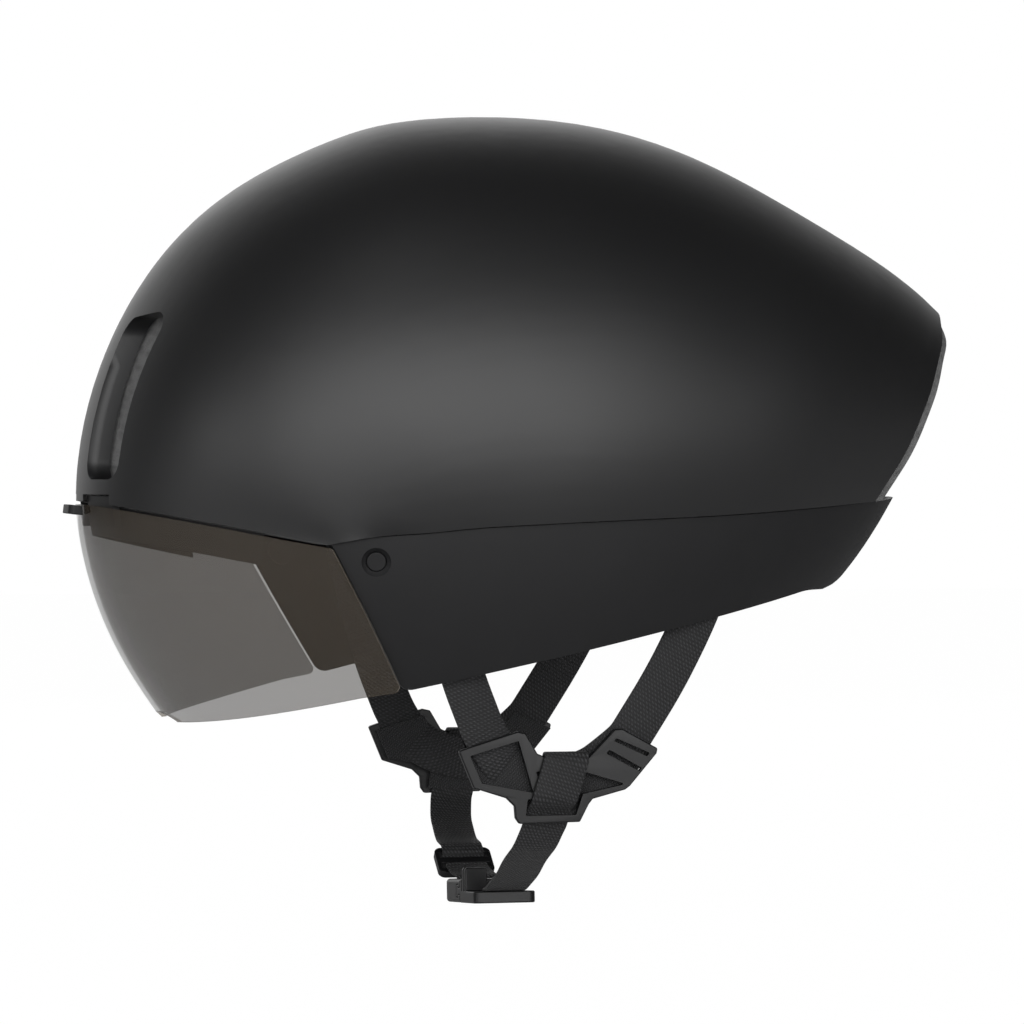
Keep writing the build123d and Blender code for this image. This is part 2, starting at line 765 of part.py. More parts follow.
def cradle():
    """Curved plate behind the nape with two windows."""
    inner, outer = cradle_radius, cradle_radius + cradle_wall
    plate = ring_piece(inner, outer, cradle_low, cradle_high, -cradle_spread, cradle_spread)
    plate = fillet(plate.edges().filter_by(lambda edge: edge.length < 2 * cradle_wall), cradle_corner)
    low, high = cradle_low + cradle_window_margin, cradle_high - cradle_window_margin
    for side in (-1, 1):
        start, end = sorted((side * cradle_window_start, side * cradle_window_end))
        plate = plate - ring_piece(inner - overrun, outer + overrun, low, high, start, end)
    return plate - housing_screws(0, screw_bite)


def cradle_hanger():
    """Block that hangs the cradle from the back of the foam."""
    inner = cradle_radius
    low = cradle_high + seam_gap
    return ring_piece(inner, inner + hanger_out, low, hanger_top, -hanger_spread, hanger_spread)


def band_inner(side):
    """Inner radius of one band: the left one runs inside the right one."""
    inner = cradle_radius + cradle_wall + band_gap
    return inner if side < 0 else inner + band_wall + band_split


def rack_tooth(side, middle, number):
    """One straight-sided rack tooth, pointing at the pinion."""
    tip = gear_module * addendum_share
    root = gear_module * dedendum_share
    lean = math.tan(math.radians(pressure_angle))
    half = math.pi * gear_module / 4 - flank_backlash
    pitch_line = -side * pinion_teeth * gear_module / 2
    to_pinion = side
    points = []
    for across_share, up in ((-1, -root), (-1, tip), (1, tip), (1, -root)):
        out = across_share * (half - lean * up)
        points.append((0, out, fit_level + pitch_line + to_pinion * up))
    face = make_face(Polyline(*points, close=True))
    tooth = Pos(middle - band_wall, 0, 0) * extrude(face, amount=2 * band_wall, dir=(1, 0, 0))
    turn = math.degrees((number + 0.5) * math.pi * gear_module / middle)
    return Pos(fit_axis_x, 0, 0) * Rot(0, 0, turn) * tooth


def band(side):
    """Toothed band from the nape round one side, with its rack facing the pinion."""
    inner = band_inner(side)
    outer = inner + band_wall
    half = band_height / 2
    start, end = sorted((-side * band_tail, side * band_wide_end))
    strip = ring_piece(inner, outer, fit_level - half, fit_level + half, start, end)
    start, end = sorted((side * (band_wide_end - 1), side * band_end))
    side_half = band_side_height / 2
    strip = strip + ring_piece(inner, outer, fit_level - side_half, fit_level + side_half, start, end)
    pitch_radius = pinion_teeth * gear_module / 2
    root = pitch_radius + gear_module * dedendum_share
    clear = pitch_radius + gear_module * (addendum_share + dedendum_share)
    low, high = (fit_level - clear, fit_level + root) if side < 0 else (fit_level - root, fit_level + clear)
    slot = ring_piece(inner - band_wall, outer + band_wall, low, high, -rack_spread, rack_spread)
    middle = inner + band_wall / 2
    for number in range(-rack_teeth_count // 2, rack_teeth_count // 2):
        slot = slot - rack_tooth(side, middle, number)
    return strip - slot


def band_guide(side):
    """Clip under the foam that one band slides through."""
    inner = band_inner(side) - guide_gap
    outer = inner + band_wall + 2 * guide_gap
    half = band_side_height / 2 + guide_gap
    start, end = sorted((side * (guide_angle - guide_spread), side * (guide_angle + guide_spread)))
    low = fit_level - half - guide_wall
    block = ring_piece(inner - guide_wall, outer + guide_wall, low, guide_top, start, end)
    flange = ring_piece(inner - guide_wall, outer + guide_flange, guide_top - guide_wall, guide_top,
                        start, end)
    window = ring_piece(inner, outer, fit_level - half, fit_level + half, start - 1, end + 1)
    return block + flange - window


def housing_radius():
    """Inner radius of the cover over the two bands."""
    return band_inner(1) + band_wall + housing_gap


def on_housing(angle, level, radius):
    """Location on a radius from the fit axis, facing out and back."""
    turn = math.radians(angle)
    out = Vector(math.cos(turn), math.sin(turn), 0)
    return Plane(Vector(fit_axis_x, 0, level) + out * radius, z_dir=out)


def housing_screws(grow, bite):
    """Four screws that hold the cover to the cradle, as separate solids, or their holes."""
    screws = []
    cover = housing_radius() + housing_wall
    start = cradle_radius + cradle_wall - bite
    half = band_height / 2 + housing_rail_gap + housing_rail / 2
    for angle in (-screw_angle, screw_angle):
        for level in (fit_level - half, fit_level + half):
            shank = Cylinder(screw_radius + grow, cover - start, align=base_align)
            head = Cylinder(screw_head_radius, screw_head, align=base_align)
            screw = shank + Pos(0, 0, cover - start) * head
            screws.append(on_housing(angle, level, start) * screw)
    return Compound(children=screws)


def dial_housing():
    """Cover over the bands, with a rail above and below them and the bore for the dial."""
    inner = housing_radius()
    half = band_height / 2 + housing_rail_gap
    far = half + housing_rail
    spread = housing_spread
    cover = ring_piece(inner, inner + housing_wall, fit_level - far, fit_level + far, -spread, spread)
    seat = cradle_radius + cradle_wall + seam_gap / 2
    for low, high in ((-far, -half), (half, far)):
        cover = cover + ring_piece(seat, inner, fit_level + low, fit_level + high, -spread, spread)
    bore = on_housing(0, fit_level, inner - overrun)
    bore = bore * Cylinder(shaft_radius + shaft_clearance, 3 * overrun, align=base_align)
    return cover - bore - housing_screws(pinion_bond, 0)


def dial_face():
    """Radius from the fit axis where the dial begins."""
    return housing_radius() + housing_wall + dial_gap


def fit_dial():
    """Notched dial with its shaft through the cover to the pinion."""
    disc = Cylinder(dial_radius, dial_thickness, align=base_align)
    disc = fillet(disc.edges(), dial_round)
    dish = Cylinder(dial_dish_radius, dial_dish_depth, align=base_align)
    disc = disc - Pos(0, 0, dial_thickness - dial_dish_depth) * dish
    for number in range(dial_notches):
        notch = Cylinder(dial_notch_radius, 2 * dial_thickness, align=base_align)
        disc = disc - Rot(0, 0, 360 / dial_notches * number) * Pos(dial_radius, 0, 0) * notch
    reach = dial_face() - pinion_start()
    shaft = Cylinder(shaft_radius, reach, align=base_align)
    return on_housing(0, fit_level, dial_face()) * (disc + Pos(0, 0, -reach) * shaft)


def pinion_start():
    """Radius from the fit axis where the pinion begins, just clear of the cradle."""
    return cradle_radius + cradle_wall + housing_rail_gap


def involute_angle(radius, base):
    """Polar angle swept by the involute between its base circle and a radius."""
    turn = math.acos(min(1, base / radius))
    return math.tan(turn) - turn


def pinion():
    """Ten-tooth pinion with involute flanks, pressed on the dial's shaft."""
    pitch_radius = pinion_teeth * gear_module / 2
    base = pitch_radius * math.cos(math.radians(pressure_angle))
    tip = pitch_radius + gear_module * addendum_share
    root = pitch_radius - gear_module * dedendum_share
    half = math.pi / 2 / pinion_teeth - flank_backlash / 2 / pitch_radius
    half = half + involute_angle(pitch_radius, base)
    edges = []
    ends = []
    for number in range(pinion_teeth):
        middle = 2 * math.pi * number / pinion_teeth
        for hand in (-1, 1):
            flank = []
            for radius in (base, (base + tip) / 2, tip):
                turn = middle + hand * (half - involute_angle(radius, base))
                flank.append(Vector(radius * math.cos(turn), radius * math.sin(turn)))
            turn = middle + hand * half
            foot = Vector(root * math.cos(turn), root * math.sin(turn))
            edges += [ThreePointArc(*flank), Line(foot, flank[0])]
            ends.append((foot, flank[2]))
    for number in range(pinion_teeth):
        left, right = ends[2 * number], ends[2 * number + 1]
        following = ends[(2 * number + 2) % len(ends)]
        edges += [Line(left[1], right[1]), Line(right[0], following[0])]
    gear = extrude(make_face(edges), amount=dial_face() - dial_gap - housing_wall - pinion_start()
                   - seam_gap)
    gear = gear - Cylinder(shaft_radius + pinion_bond, 4 * overrun)
    turned = on_housing(0, fit_level, pinion_start())
    return turned * gear


def nape_pad():
    """Soft pad on the front of the cradle."""
    outer = cradle_radius - pad_gap
    pad = ring_piece(outer - nape_pad_thickness, outer, nape_pad_low, nape_pad_high,
                     -nape_pad_spread, nape_pad_spread)
    return fillet(pad.edges(), pad_round)


def harness_point(share, side):
    """Point of the harness from its shares, on one side."""
    return Vector(share[0] * shell_length, side * share[1] * half_width, share[2] * harness_depth)


def webbing(shares, side):
    """Flat webbing through a row of points, its face square to the way across the helmet."""
    points = [harness_point(share, side) for share in shares]
    sections = []
    for index, point in enumerate(points):
        before, after = points[max(index - 1, 0)], points[min(index + 1, len(points) - 1)]
        along = (after - before).normalized()
        edge = Vector(1, 0, 0) - along * along.X
        if abs(along.X) > 0.3:
            edge = along.cross(Vector(0, 1, 0))
            edge = edge * (1 if edge.X > 0 else -1)
        plane = Plane(point, x_dir=edge.normalized(), z_dir=along)
        sections.append(plane * Rectangle(web_width, web_thickness))
    return loft(sections, ruled=True)


def side_webbing(side):
    """Strap from the front anchor through the divider to the rear anchor."""
    return webbing(front_run_shares, side) + webbing(rear_run_shares, side)


def strap_anchor(side, x_share, out_share, z_share):
    """Plastic anchor in the foam that one end of a side strap hangs from."""
    place = Vector(x_share * shell_length, side * out_share * half_width, z_share * harness_depth)
    block = Box(anchor_length, anchor_width, anchor_height)
    block = fillet(block.edges().filter_by(Axis.Z), anchor_width / 4)
    return Pos(*place) * block


def anchor_room(side, x_share, out_share, z_share):
    """Room in the foam for one strap anchor, open below."""
    place = Vector(x_share * shell_length, side * out_share * half_width, z_share * harness_depth)
    grow = 2 * anchor_gap
    block = Box(anchor_length + grow, anchor_width + grow, anchor_height + grow + overrun)
    return Pos(place.X, place.Y, place.Z - overrun / 2) * block


def divider_point(share, side):
    """Point of a divider's side view from its shares."""
    return Vector(divider_middle_x + share[0] * divider_width, side * divider_out,
                  divider_middle_z + share[1] * divider_depth)


def divider_cut(shares, side, corner):
    """Opening through a divider with rounded corners."""
    face = make_face(Polyline(*[divider_point(share, side) for share in shares], close=True))
    face = fillet(face.vertices(), corner)
    return extrude(face, amount=divider_thickness, dir=(0, 1, 0), both=True)


def strap_divider(side):
    """Y-shaped plate under the ear that joins the side strap and the chin strap."""
    outline = [divider_point(share, side) for share in divider_shares]
    face = make_face(Polyline(*outline, close=True))
    face = fillet(face.vertices(), divider_round)
    plate = extrude(face, amount=divider_thickness / 2, dir=(0, 1, 0), both=True)
    rims = plate.edges().filter_by(lambda edge: abs(edge.center().Y - side * divider_out) > 1)
    plate = chamfer(rims, divider_round / 2)
    slot_corner = divider_round / 2
    for shares in (front_window_shares, rear_slot_shares, rear_lower_slot_shares, chin_window_shares):
        plate = plate - divider_cut(shares, side, slot_corner)
    return plate


def on_buckle(shape):
    """Move a shape from the buckle's own frame to its place under the chin."""
    return Pos(buckle_x, buckle_y, buckle_z) * Rot(-buckle_tilt, 0, 0) * shape


def tongue_rib(grow):
    """T-shaped rib along the front-to-rear way that holds the tongue in the body."""
    neck = Box(buckle_width, rib_neck_length + grow + tongue_gap, rib_neck + 2 * grow)
    head = Box(buckle_width, rib_head_length + 2 * grow, rib_head + 2 * grow)
    neck = Pos(0, (rib_neck_length + grow - tongue_gap) / 2, 0) * neck
    return neck + Pos(0, rib_neck_length + rib_head_length / 2, 0) * head


def strap_slot(middle):
    """Slot across the buckle for webbing, a strap's width and a little more."""
    return Pos(0, middle, 0) * Box(web_width + 2 * web_thickness, bar_slot, 2 * buckle_height)


def buckle_body():
    """Right half of the buckle with its T-slot, magnet pocket and strap bar."""
    block = Box(buckle_width, body_length, buckle_height)
    block = Pos(0, body_length / 2 + tongue_gap / 2, 0) * block
    block = fillet(block.edges().filter_by(Axis.Z).sort_by(Axis.Y)[-2:], body_corner)
    block = fillet(block.edges().filter_by(Axis.X), body_corner / 2)
    block = block - Pos(-rib_stop, 0, 0) * tongue_rib(rib_gap)
    block = block - strap_slot(body_length - bar_width - bar_slot / 2)
    pocket = Cylinder(buckle_magnet_radius + magnet_bond, overrun, align=base_align)
    magnet_y = rib_neck_length + rib_head_length + buckle_magnet_radius + rib_gap + bar_width / 2
    block = block - Pos(0, magnet_y, -buckle_height / 2 + buckle_magnet_thickness) * Rot(180, 0, 0) * pocket
    return on_buckle(block)


def body_magnet():
    """Magnet under the buckle body."""
    magnet_y = rib_neck_length + rib_head_length + buckle_magnet_radius + rib_gap + bar_width / 2
    disc = Cylinder(buckle_magnet_radius, buckle_magnet_thickness, align=base_align)
    return on_buckle(Pos(0, magnet_y, -buckle_height / 2) * disc)


def buckle_tongue():
    """Left half of the buckle: rib, plate, ridged grip and strap bar."""
    low = -buckle_height / 2
    plate = Box(buckle_width, tongue_length, tongue_height)
    plate = Pos(0, -tongue_gap / 2 - tongue_length / 2, low + tongue_height / 2) * plate
    plate = fillet(plate.edges().filter_by(Axis.Z).sort_by(Axis.Y)[:2], body_corner)
    plate = plate - strap_slot(-tongue_length + bar_width + bar_slot / 2)
    tall = buckle_height + grip_rise - tongue_height
    root = Box(buckle_width, bar_width, buckle_height)
    root = Pos(0, -tongue_gap / 2 - bar_width / 2, 0) * root
    rib = Pos(-rib_stop / 2, 0, 0) * tongue_rib(0)
    rib = rib & (Pos(-rib_stop / 2, 0, 0) * Box(buckle_width - rib_stop, 2 * body_length, overrun))
    tongue = plate + root + rib
    front = -buckle_width / 2
    for number in range(grip_ridges):
        ridge = Box(grip_depth, grip_ridge_width, tall)
        ridge = fillet(ridge.edges().filter_by(Axis.Y), grip_ridge_width / 2)
        start = -tongue_gap / 2 - bar_width - grip_ridge_width * (1 + 2 * number)
        tongue = tongue + Pos(front + grip_depth / 2, start, low + tongue_height + tall / 2
                              - grip_ridge_width / 2) * ridge
    return on_buckle(tongue)


def chin_adjuster():
    """Ladder plate on the right chin strap just above the buckle."""
    plate = Box(adjuster_width, adjuster_length, adjuster_thickness)
    plate = fillet(plate.edges().filter_by(Axis.Z), body_corner)
    for middle in (-adjuster_slot, adjuster_slot):
        slot = Box(web_width + 2 * web_thickness, adjuster_slot, 2 * adjuster_thickness)
        plate = plate - Pos(0, middle, 0) * slot
    return Pos(adjuster_x, adjuster_y, adjuster_z) * Rot(adjuster_tilt, 0, 0) * plate


def write(node, shape):
    """Save one node under its name."""
    export_step(shape, os.path.join("parts", node + ".step"))


os.makedirs("parts", exist_ok=True)
sides = (("left", -1), ("right", 1))
write("upper_shell", upper_shell())
write("liner", liner())
write("lower_shell", skirt())
write("visor_lens", visor_lens())
write("visor_grip_tab", grip_tab())
write("visor_seat", visor_seat())
write("visor_magnets", magnet_pair(0))
write("seat_magnets", magnet_pair(magnet_thickness + seat_gap))
for name, side in sides:
    write("visor_clip_" + name, visor_clip(side))
    write("park_pin_" + name, park_pin(side))
    write("crown_pad_" + name, crown_pad(side))
    write("side_pad_" + name, side_pad(side))
    write("fit_band_" + name, band(side))
    write("band_guide_" + name, band_guide(side))
    write("side_webbing_" + name, side_webbing(side))
    write("strap_divider_" + name, strap_divider(side))
    write("front_anchor_" + name, strap_anchor(side, front_anchor_x_share, front_anchor_out_share,
                                               front_anchor_z_share))
    write("rear_anchor_" + name, strap_anchor(side, rear_anchor_x_share, rear_anchor_out_share,
                                              rear_anchor_z_share))
write("chin_webbing_left", webbing(chin_run_shares + left_end_shares, -1))
write("chin_webbing_right", webbing(chin_run_shares + right_end_shares, 1))
write("chin_link", webbing(link_run_shares, 1))
write("brow_pad", brow_pad())
write("nape_pad", nape_pad())
write("nape_cradle", cradle())
write("cradle_hanger", cradle_hanger())
write("dial_housing", dial_housing())
write("housing_screws", housing_screws(0, screw_bite))
write("fit_dial", fit_dial())
write("fit_pinion", pinion())
write("buckle_body", buckle_body())
write("buckle_magnet", body_magnet())
write("buckle_tongue", buckle_tongue())
write("chin_adjuster", chin_adjuster())
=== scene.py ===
# %% [markdown]
# # An aero time trial helmet
# The object is a smooth tailed hood over a foam liner, a skirt round the ears, a tinted visor held by
# magnets, a webbing harness with a buckle, and a dial behind the nape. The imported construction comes
# in as a fixed frame; this notebook gives every piece its surface. Lengths are metres.

import bpy
import bmesh
import json
import math
import numpy as np
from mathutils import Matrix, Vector
from mathutils.bvhtree import BVHTree


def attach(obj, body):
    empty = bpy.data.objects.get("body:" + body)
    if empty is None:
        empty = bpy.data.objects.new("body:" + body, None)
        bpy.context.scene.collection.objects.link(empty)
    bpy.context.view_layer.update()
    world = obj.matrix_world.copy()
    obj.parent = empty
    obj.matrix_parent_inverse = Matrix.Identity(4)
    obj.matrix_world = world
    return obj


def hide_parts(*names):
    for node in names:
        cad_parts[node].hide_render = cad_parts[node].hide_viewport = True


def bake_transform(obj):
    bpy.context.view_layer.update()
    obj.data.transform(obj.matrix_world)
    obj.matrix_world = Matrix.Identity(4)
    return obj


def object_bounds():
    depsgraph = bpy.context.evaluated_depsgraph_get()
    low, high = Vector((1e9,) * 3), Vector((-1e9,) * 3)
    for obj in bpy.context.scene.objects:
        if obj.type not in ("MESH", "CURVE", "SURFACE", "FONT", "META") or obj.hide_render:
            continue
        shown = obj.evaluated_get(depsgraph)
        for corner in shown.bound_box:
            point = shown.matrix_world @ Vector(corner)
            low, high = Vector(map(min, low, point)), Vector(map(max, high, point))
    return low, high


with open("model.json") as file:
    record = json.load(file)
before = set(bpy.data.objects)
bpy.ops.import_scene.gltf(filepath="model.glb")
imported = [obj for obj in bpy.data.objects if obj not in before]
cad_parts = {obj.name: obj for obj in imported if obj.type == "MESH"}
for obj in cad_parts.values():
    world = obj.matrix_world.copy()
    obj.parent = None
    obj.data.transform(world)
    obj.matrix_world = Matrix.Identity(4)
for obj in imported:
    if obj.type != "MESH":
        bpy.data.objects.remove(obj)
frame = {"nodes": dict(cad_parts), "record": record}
cad_low, cad_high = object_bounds()
mm = 0.001

# %% [markdown]
# ## Light, floor and camera
# The product stands in a white studio. A wide soft lamp beside the camera draws the broad highlight on
# the near side of the hood, while its crown stays almost black. The white backdrop behind the object
# shows in its outline as a bright rim. The floor and the world are white to the camera.

# %% Colours and a node helper
def linear(code):
    """Linear colour of an sRGB hex value."""
    channels = [int(code[place:place + 2], 16) / 255 for place in (1, 3, 5)]
    lifted = [c / 12.92 if c <= 0.04045 else ((c + 0.055) / 1.055) ** 2.4 for c in channels]
    return (*lifted, 1.0)


def add(tree, kind, links=(), **settings):
    """Add a node, set its properties and sockets, and link (output, input name) pairs into it."""
    node = tree.nodes.new(kind)
    for name, value in settings.items():
        if hasattr(node, name):
            setattr(node, name, value)
        else:
            node.inputs[name.replace("_", " ")].default_value = value
    for output, name in links:
        tree.links.new(output, node.inputs[name])
    return node


# %% World
def studio_world():
    """White to the camera and through glass, a white backdrop in reflections, dim light otherwise."""
    world = bpy.data.worlds.new("studio_white")
    bpy.context.scene.world = world
    world.use_nodes = True
    tree = world.node_tree
    tree.nodes.clear()
    path = add(tree, "ShaderNodeLightPath")
    dim = add(tree, "ShaderNodeBackground", Color=(0.60, 0.60, 0.61, 1), Strength=0.30)
    white = add(tree, "ShaderNodeBackground", Color=(1, 1, 1, 1), Strength=1.0)
    way = add(tree, "ShaderNodeSeparateXYZ")
    tree.links.new(add(tree, "ShaderNodeTexCoord").outputs["Generated"], way.inputs[0])
    backdrop_starts, backdrop_full, room_glow = 0.35, 0.95, 0.06
    behind = add(tree, "ShaderNodeMapRange", interpolation_type="SMOOTHSTEP")
    tree.links.new(way.outputs["Y"], behind.inputs["Value"])
    behind.inputs["From Min"].default_value = backdrop_starts
    behind.inputs["From Max"].default_value = backdrop_full
    behind.inputs["To Min"].default_value = room_glow
    mirrored = add(tree, "ShaderNodeMath", operation="MULTIPLY")
    tree.links.new(path.outputs["Is Glossy Ray"], mirrored.inputs[0])
    tree.links.new(behind.outputs["Result"], mirrored.inputs[1])
    direct = add(tree, "ShaderNodeMath", operation="MAXIMUM")
    tree.links.new(path.outputs["Is Camera Ray"], direct.inputs[0])
    tree.links.new(path.outputs["Is Transmission Ray"], direct.inputs[1])
    seen = add(tree, "ShaderNodeMath", operation="MAXIMUM")
    tree.links.new(direct.outputs[0], seen.inputs[0])
    tree.links.new(mirrored.outputs[0], seen.inputs[1])
    dark = add(tree, "ShaderNodeBackground", Color=(0, 0, 0, 1), Strength=0.0)
    plain = add(tree, "ShaderNodeMixShader")
    tree.links.new(path.outputs["Is Glossy Ray"], plain.inputs[0])
    tree.links.new(dim.outputs[0], plain.inputs[1])
    tree.links.new(dark.outputs[0], plain.inputs[2])
    mix = add(tree, "ShaderNodeMixShader")
    tree.links.new(seen.outputs[0], mix.inputs[0])
    tree.links.new(plain.outputs[0], mix.inputs[1])
    tree.links.new(white.outputs[0], mix.inputs[2])
    out = add(tree, "ShaderNodeOutputWorld")
    tree.links.new(mix.outputs[0], out.inputs[0])


studio_world()

# %% Floor
def studio_floor(level):
    """Pale floor that looks white to the camera and keeps a faint shadow."""
    half_size = 6.0
    glow_strength, glow_share = 1.02, 0.97
    sheet = bmesh.new()
    bmesh.ops.create_grid(sheet, x_segments=1, y_segments=1, size=half_size)
    bmesh.ops.translate(sheet, verts=sheet.verts, vec=(0, 0, level))
    mesh = bpy.data.meshes.new("studio_floor")
    sheet.to_mesh(mesh)
    sheet.free()
    floor = bpy.data.objects.new("studio_floor", mesh)
    bpy.context.scene.collection.objects.link(floor)
    finish = bpy.data.materials.new("white_paper_floor")
    finish.use_nodes = True
    tree = finish.node_tree
    tree.nodes.clear()
    path = add(tree, "ShaderNodeLightPath")
    paper = add(tree, "ShaderNodeBsdfDiffuse", Color=(0.80, 0.80, 0.80, 1))
    glow = add(tree, "ShaderNodeEmission", Color=(1, 1, 1, 1), Strength=glow_strength)
    share = add(tree, "ShaderNodeMath", operation="MULTIPLY")
    tree.links.new(path.outputs["Is Camera Ray"], share.inputs[0])
    share.inputs[1].default_value = glow_share
    mix = add(tree, "ShaderNodeMixShader")
    tree.links.new(share.outputs[0], mix.inputs[0])
    tree.links.new(paper.outputs[0], mix.inputs[1])
    tree.links.new(glow.outputs[0], mix.inputs[2])
    out = add(tree, "ShaderNodeOutputMaterial")
    tree.links.new(mix.outputs[0], out.inputs[0])
    mesh.materials.append(finish)


floor_drop = 0.05
studio_floor(cad_low.z - floor_drop)

# %% Lamps and camera
def lamp(name, place, target, wide, tall, power):
    """Soft lamp box that faces a point."""
    light = bpy.data.lights.new(name, "AREA")
    light.shape = "RECTANGLE"
    light.size = wide
    light.size_y = tall
    light.energy = power
    holder = bpy.data.objects.new(name, light)
    bpy.context.scene.collection.objects.link(holder)
    holder.location = place
    aim = Vector(target) - Vector(place)
    holder.rotation_euler = aim.to_track_quat("-Z", "Y").to_euler()


middle = Vector((0.0285, 0.0, -0.0043))
lamp("key_box", (-0.45, -2.0, 0.20), middle, 3.0, 1.8, 66)
lamp("low_fill", (0.9, -1.9, -0.10), middle, 1.3, 0.8, 9)
lamp("nose_fill", (-1.9, -0.7, 0.15), middle, 0.7, 0.7, 5)
lamp("crown_box", (-0.5, -0.9, 1.5), middle, 0.8, 0.8, 1.5)
lamp("far_fill", (0.3, 2.2, 0.9), middle, 1.4, 1.4, 6)


def product_camera():
    """Long lens at the height of the brow, a little ahead of the side."""
    azimuth, elevation = math.radians(-13.5), math.radians(0.5)
    distance = 1.600
    pixel = 0.36 * mm
    frame_pixels = 1024
    lens = bpy.data.cameras.new("product_camera")
    lens.sensor_width = 36.0
    lens.lens = lens.sensor_width * distance / (pixel * frame_pixels)
    camera = bpy.data.objects.new("product_camera", lens)
    bpy.context.scene.collection.objects.link(camera)
    level = math.cos(elevation)
    back = Vector((math.sin(azimuth) * level, -math.cos(azimuth) * level, math.sin(elevation)))
    camera.location = middle + back * distance
    camera.rotation_euler = (-back).to_track_quat("-Z", "Y").to_euler()
    bpy.context.scene.camera = camera


product_camera()
bpy.context.scene.view_settings.view_transform = "Standard"

# %% [markdown]
# ## Finishes
# Each finish starts from what the real surface is. Patterns are sized from real grain, weave or bead
# sizes. The colours are sRGB values, tuned by setting renders beside the photograph.

# %% Principled base
def finish(name, colour, roughness, **settings):
    """Material with one principled shader, its tree and the shader."""
    material = bpy.data.materials.new(name)
    material.use_nodes = True
    tree = material.node_tree
    shader = tree.nodes["Principled BSDF"]
    shader.inputs["Base Color"].default_value = linear(colour)
    shader.inputs["Roughness"].default_value = roughness
    for key, value in settings.items():
        shader.inputs[key.replace("_", " ")].default_value = value
    return material, tree, shader


def coordinates(tree, kind="Object"):
    """Texture coordinates of the piece itself."""
    return add(tree, "ShaderNodeTexCoord").outputs[kind]


def bump(tree, shader, height, depth, strength=1.0):
    """Feed a height into the shader's normal, depth in metres."""
    node = add(tree, "ShaderNodeBump", [(height, "Height")], Strength=strength, Distance=depth)
    tree.links.new(node.outputs["Normal"], shader.inputs["Normal"])


def mixed(tree, shader, factor, first, second):
    """Blend two linear colours by a factor into the shader's colour."""
    ramp = add(tree, "ShaderNodeValToRGB", [(factor, "Fac")])
    ramp.color_ramp.elements[0].color = first
    ramp.color_ramp.elements[1].color = second
    tree.links.new(ramp.outputs["Color"], shader.inputs["Base Color"])


def roughness_range(tree, shader, pattern, low, high):
    """Let a pattern move the shader's roughness between two values."""
    spread = add(tree, "ShaderNodeMapRange", [(pattern, "Value")])
    spread.inputs["To Min"].default_value = low
    spread.inputs["To Max"].default_value = high
    tree.links.new(spread.outputs["Result"], shader.inputs["Roughness"])


# %% Shell plastics
def painted_polycarbonate():
    """Satin black lacquer on a thermoformed polycarbonate hood, with a faint orange peel."""
    material, tree, shader = finish("satin_black_lacquer", "#0e0e0f", 0.46)
    peel_size = 2.5 * mm
    cloud_scale = 18.0
    where = coordinates(tree)
    peel = add(tree, "ShaderNodeTexNoise", [(where, "Vector")], Scale=1 / peel_size, Detail=2.0)
    cloud = add(tree, "ShaderNodeTexNoise", [(where, "Vector")], Scale=cloud_scale, Detail=3.0)
    roughness_range(tree, shader, cloud.outputs["Fac"], 0.43, 0.49)
    bump(tree, shader, peel.outputs["Fac"], 0.01 * mm, 0.25)
    return material


def moulded_plastic(name, colour, roughness, grain):
    """Injection-moulded nylon or ABS with a fine eroded grain of a given size."""
    material, tree, shader = finish(name, colour, roughness, Specular_IOR_Level=0.28)
    tone_scale, tone_lift = 60.0, 1.35
    where = coordinates(tree)
    fine = add(tree, "ShaderNodeTexNoise", [(where, "Vector")], Scale=1 / grain, Detail=3.0)
    tone = add(tree, "ShaderNodeTexNoise", [(where, "Vector")], Scale=tone_scale, Detail=2.0)
    dark = linear(colour)
    light = (*(min(1.0, channel * tone_lift) for channel in dark[:3]), 1.0)
    mixed(tree, shader, tone.outputs["Fac"], dark, light)
    bump(tree, shader, fine.outputs["Fac"], 0.03 * mm, 0.25)
    return material


def expanded_foam():
    """Grey moulded foam: fused beads of about three millimetres, with fine seams and pores."""
    material, tree, shader = finish("grey_moulded_foam", "#565656", 0.72)
    bead, pore = 2.8 * mm, 0.5 * mm
    pore_share, seam_share = 0.7, 0.12
    where = coordinates(tree)
    cells = add(tree, "ShaderNodeTexVoronoi", [(where, "Vector")], feature="F1", Scale=1 / bead)
    seams = add(tree, "ShaderNodeTexVoronoi", [(where, "Vector")], feature="DISTANCE_TO_EDGE",
                Scale=1 / bead)
    fine = add(tree, "ShaderNodeTexNoise", [(where, "Vector")], Scale=1 / pore, Detail=2.0)
    tone = add(tree, "ShaderNodeMath", operation="MULTIPLY_ADD")
    tree.links.new(fine.outputs["Fac"], tone.inputs[0])
    tone.inputs[1].default_value = pore_share
    tree.links.new(cells.outputs["Distance"], tone.inputs[2])
    mixed(tree, shader, tone.outputs[0], linear("#404040"), linear("#646464"))
    edge = add(tree, "ShaderNodeMapRange", [(seams.outputs["Distance"], "Value")])
    edge.inputs["From Max"].default_value = seam_share
    bump(tree, shader, edge.outputs["Result"], 0.12 * mm, 0.5)
    return material


# %% Lens, rubber and metal
def tinted_lens():
    """Smoked polycarbonate: each face lets about half the light through, warm grey."""
    material, tree, shader = finish("smoked_lens", "#3a332a", 0.06, Alpha=0.48, Specular_IOR_Level=0.55)
    haze_scale = 25.0
    shader.inputs["IOR"].default_value = 1.58
    where = coordinates(tree)
    haze = add(tree, "ShaderNodeTexNoise", [(where, "Vector")], Scale=haze_scale, Detail=2.0)
    roughness_range(tree, shader, haze.outputs["Fac"], 0.04, 0.09)
    return material


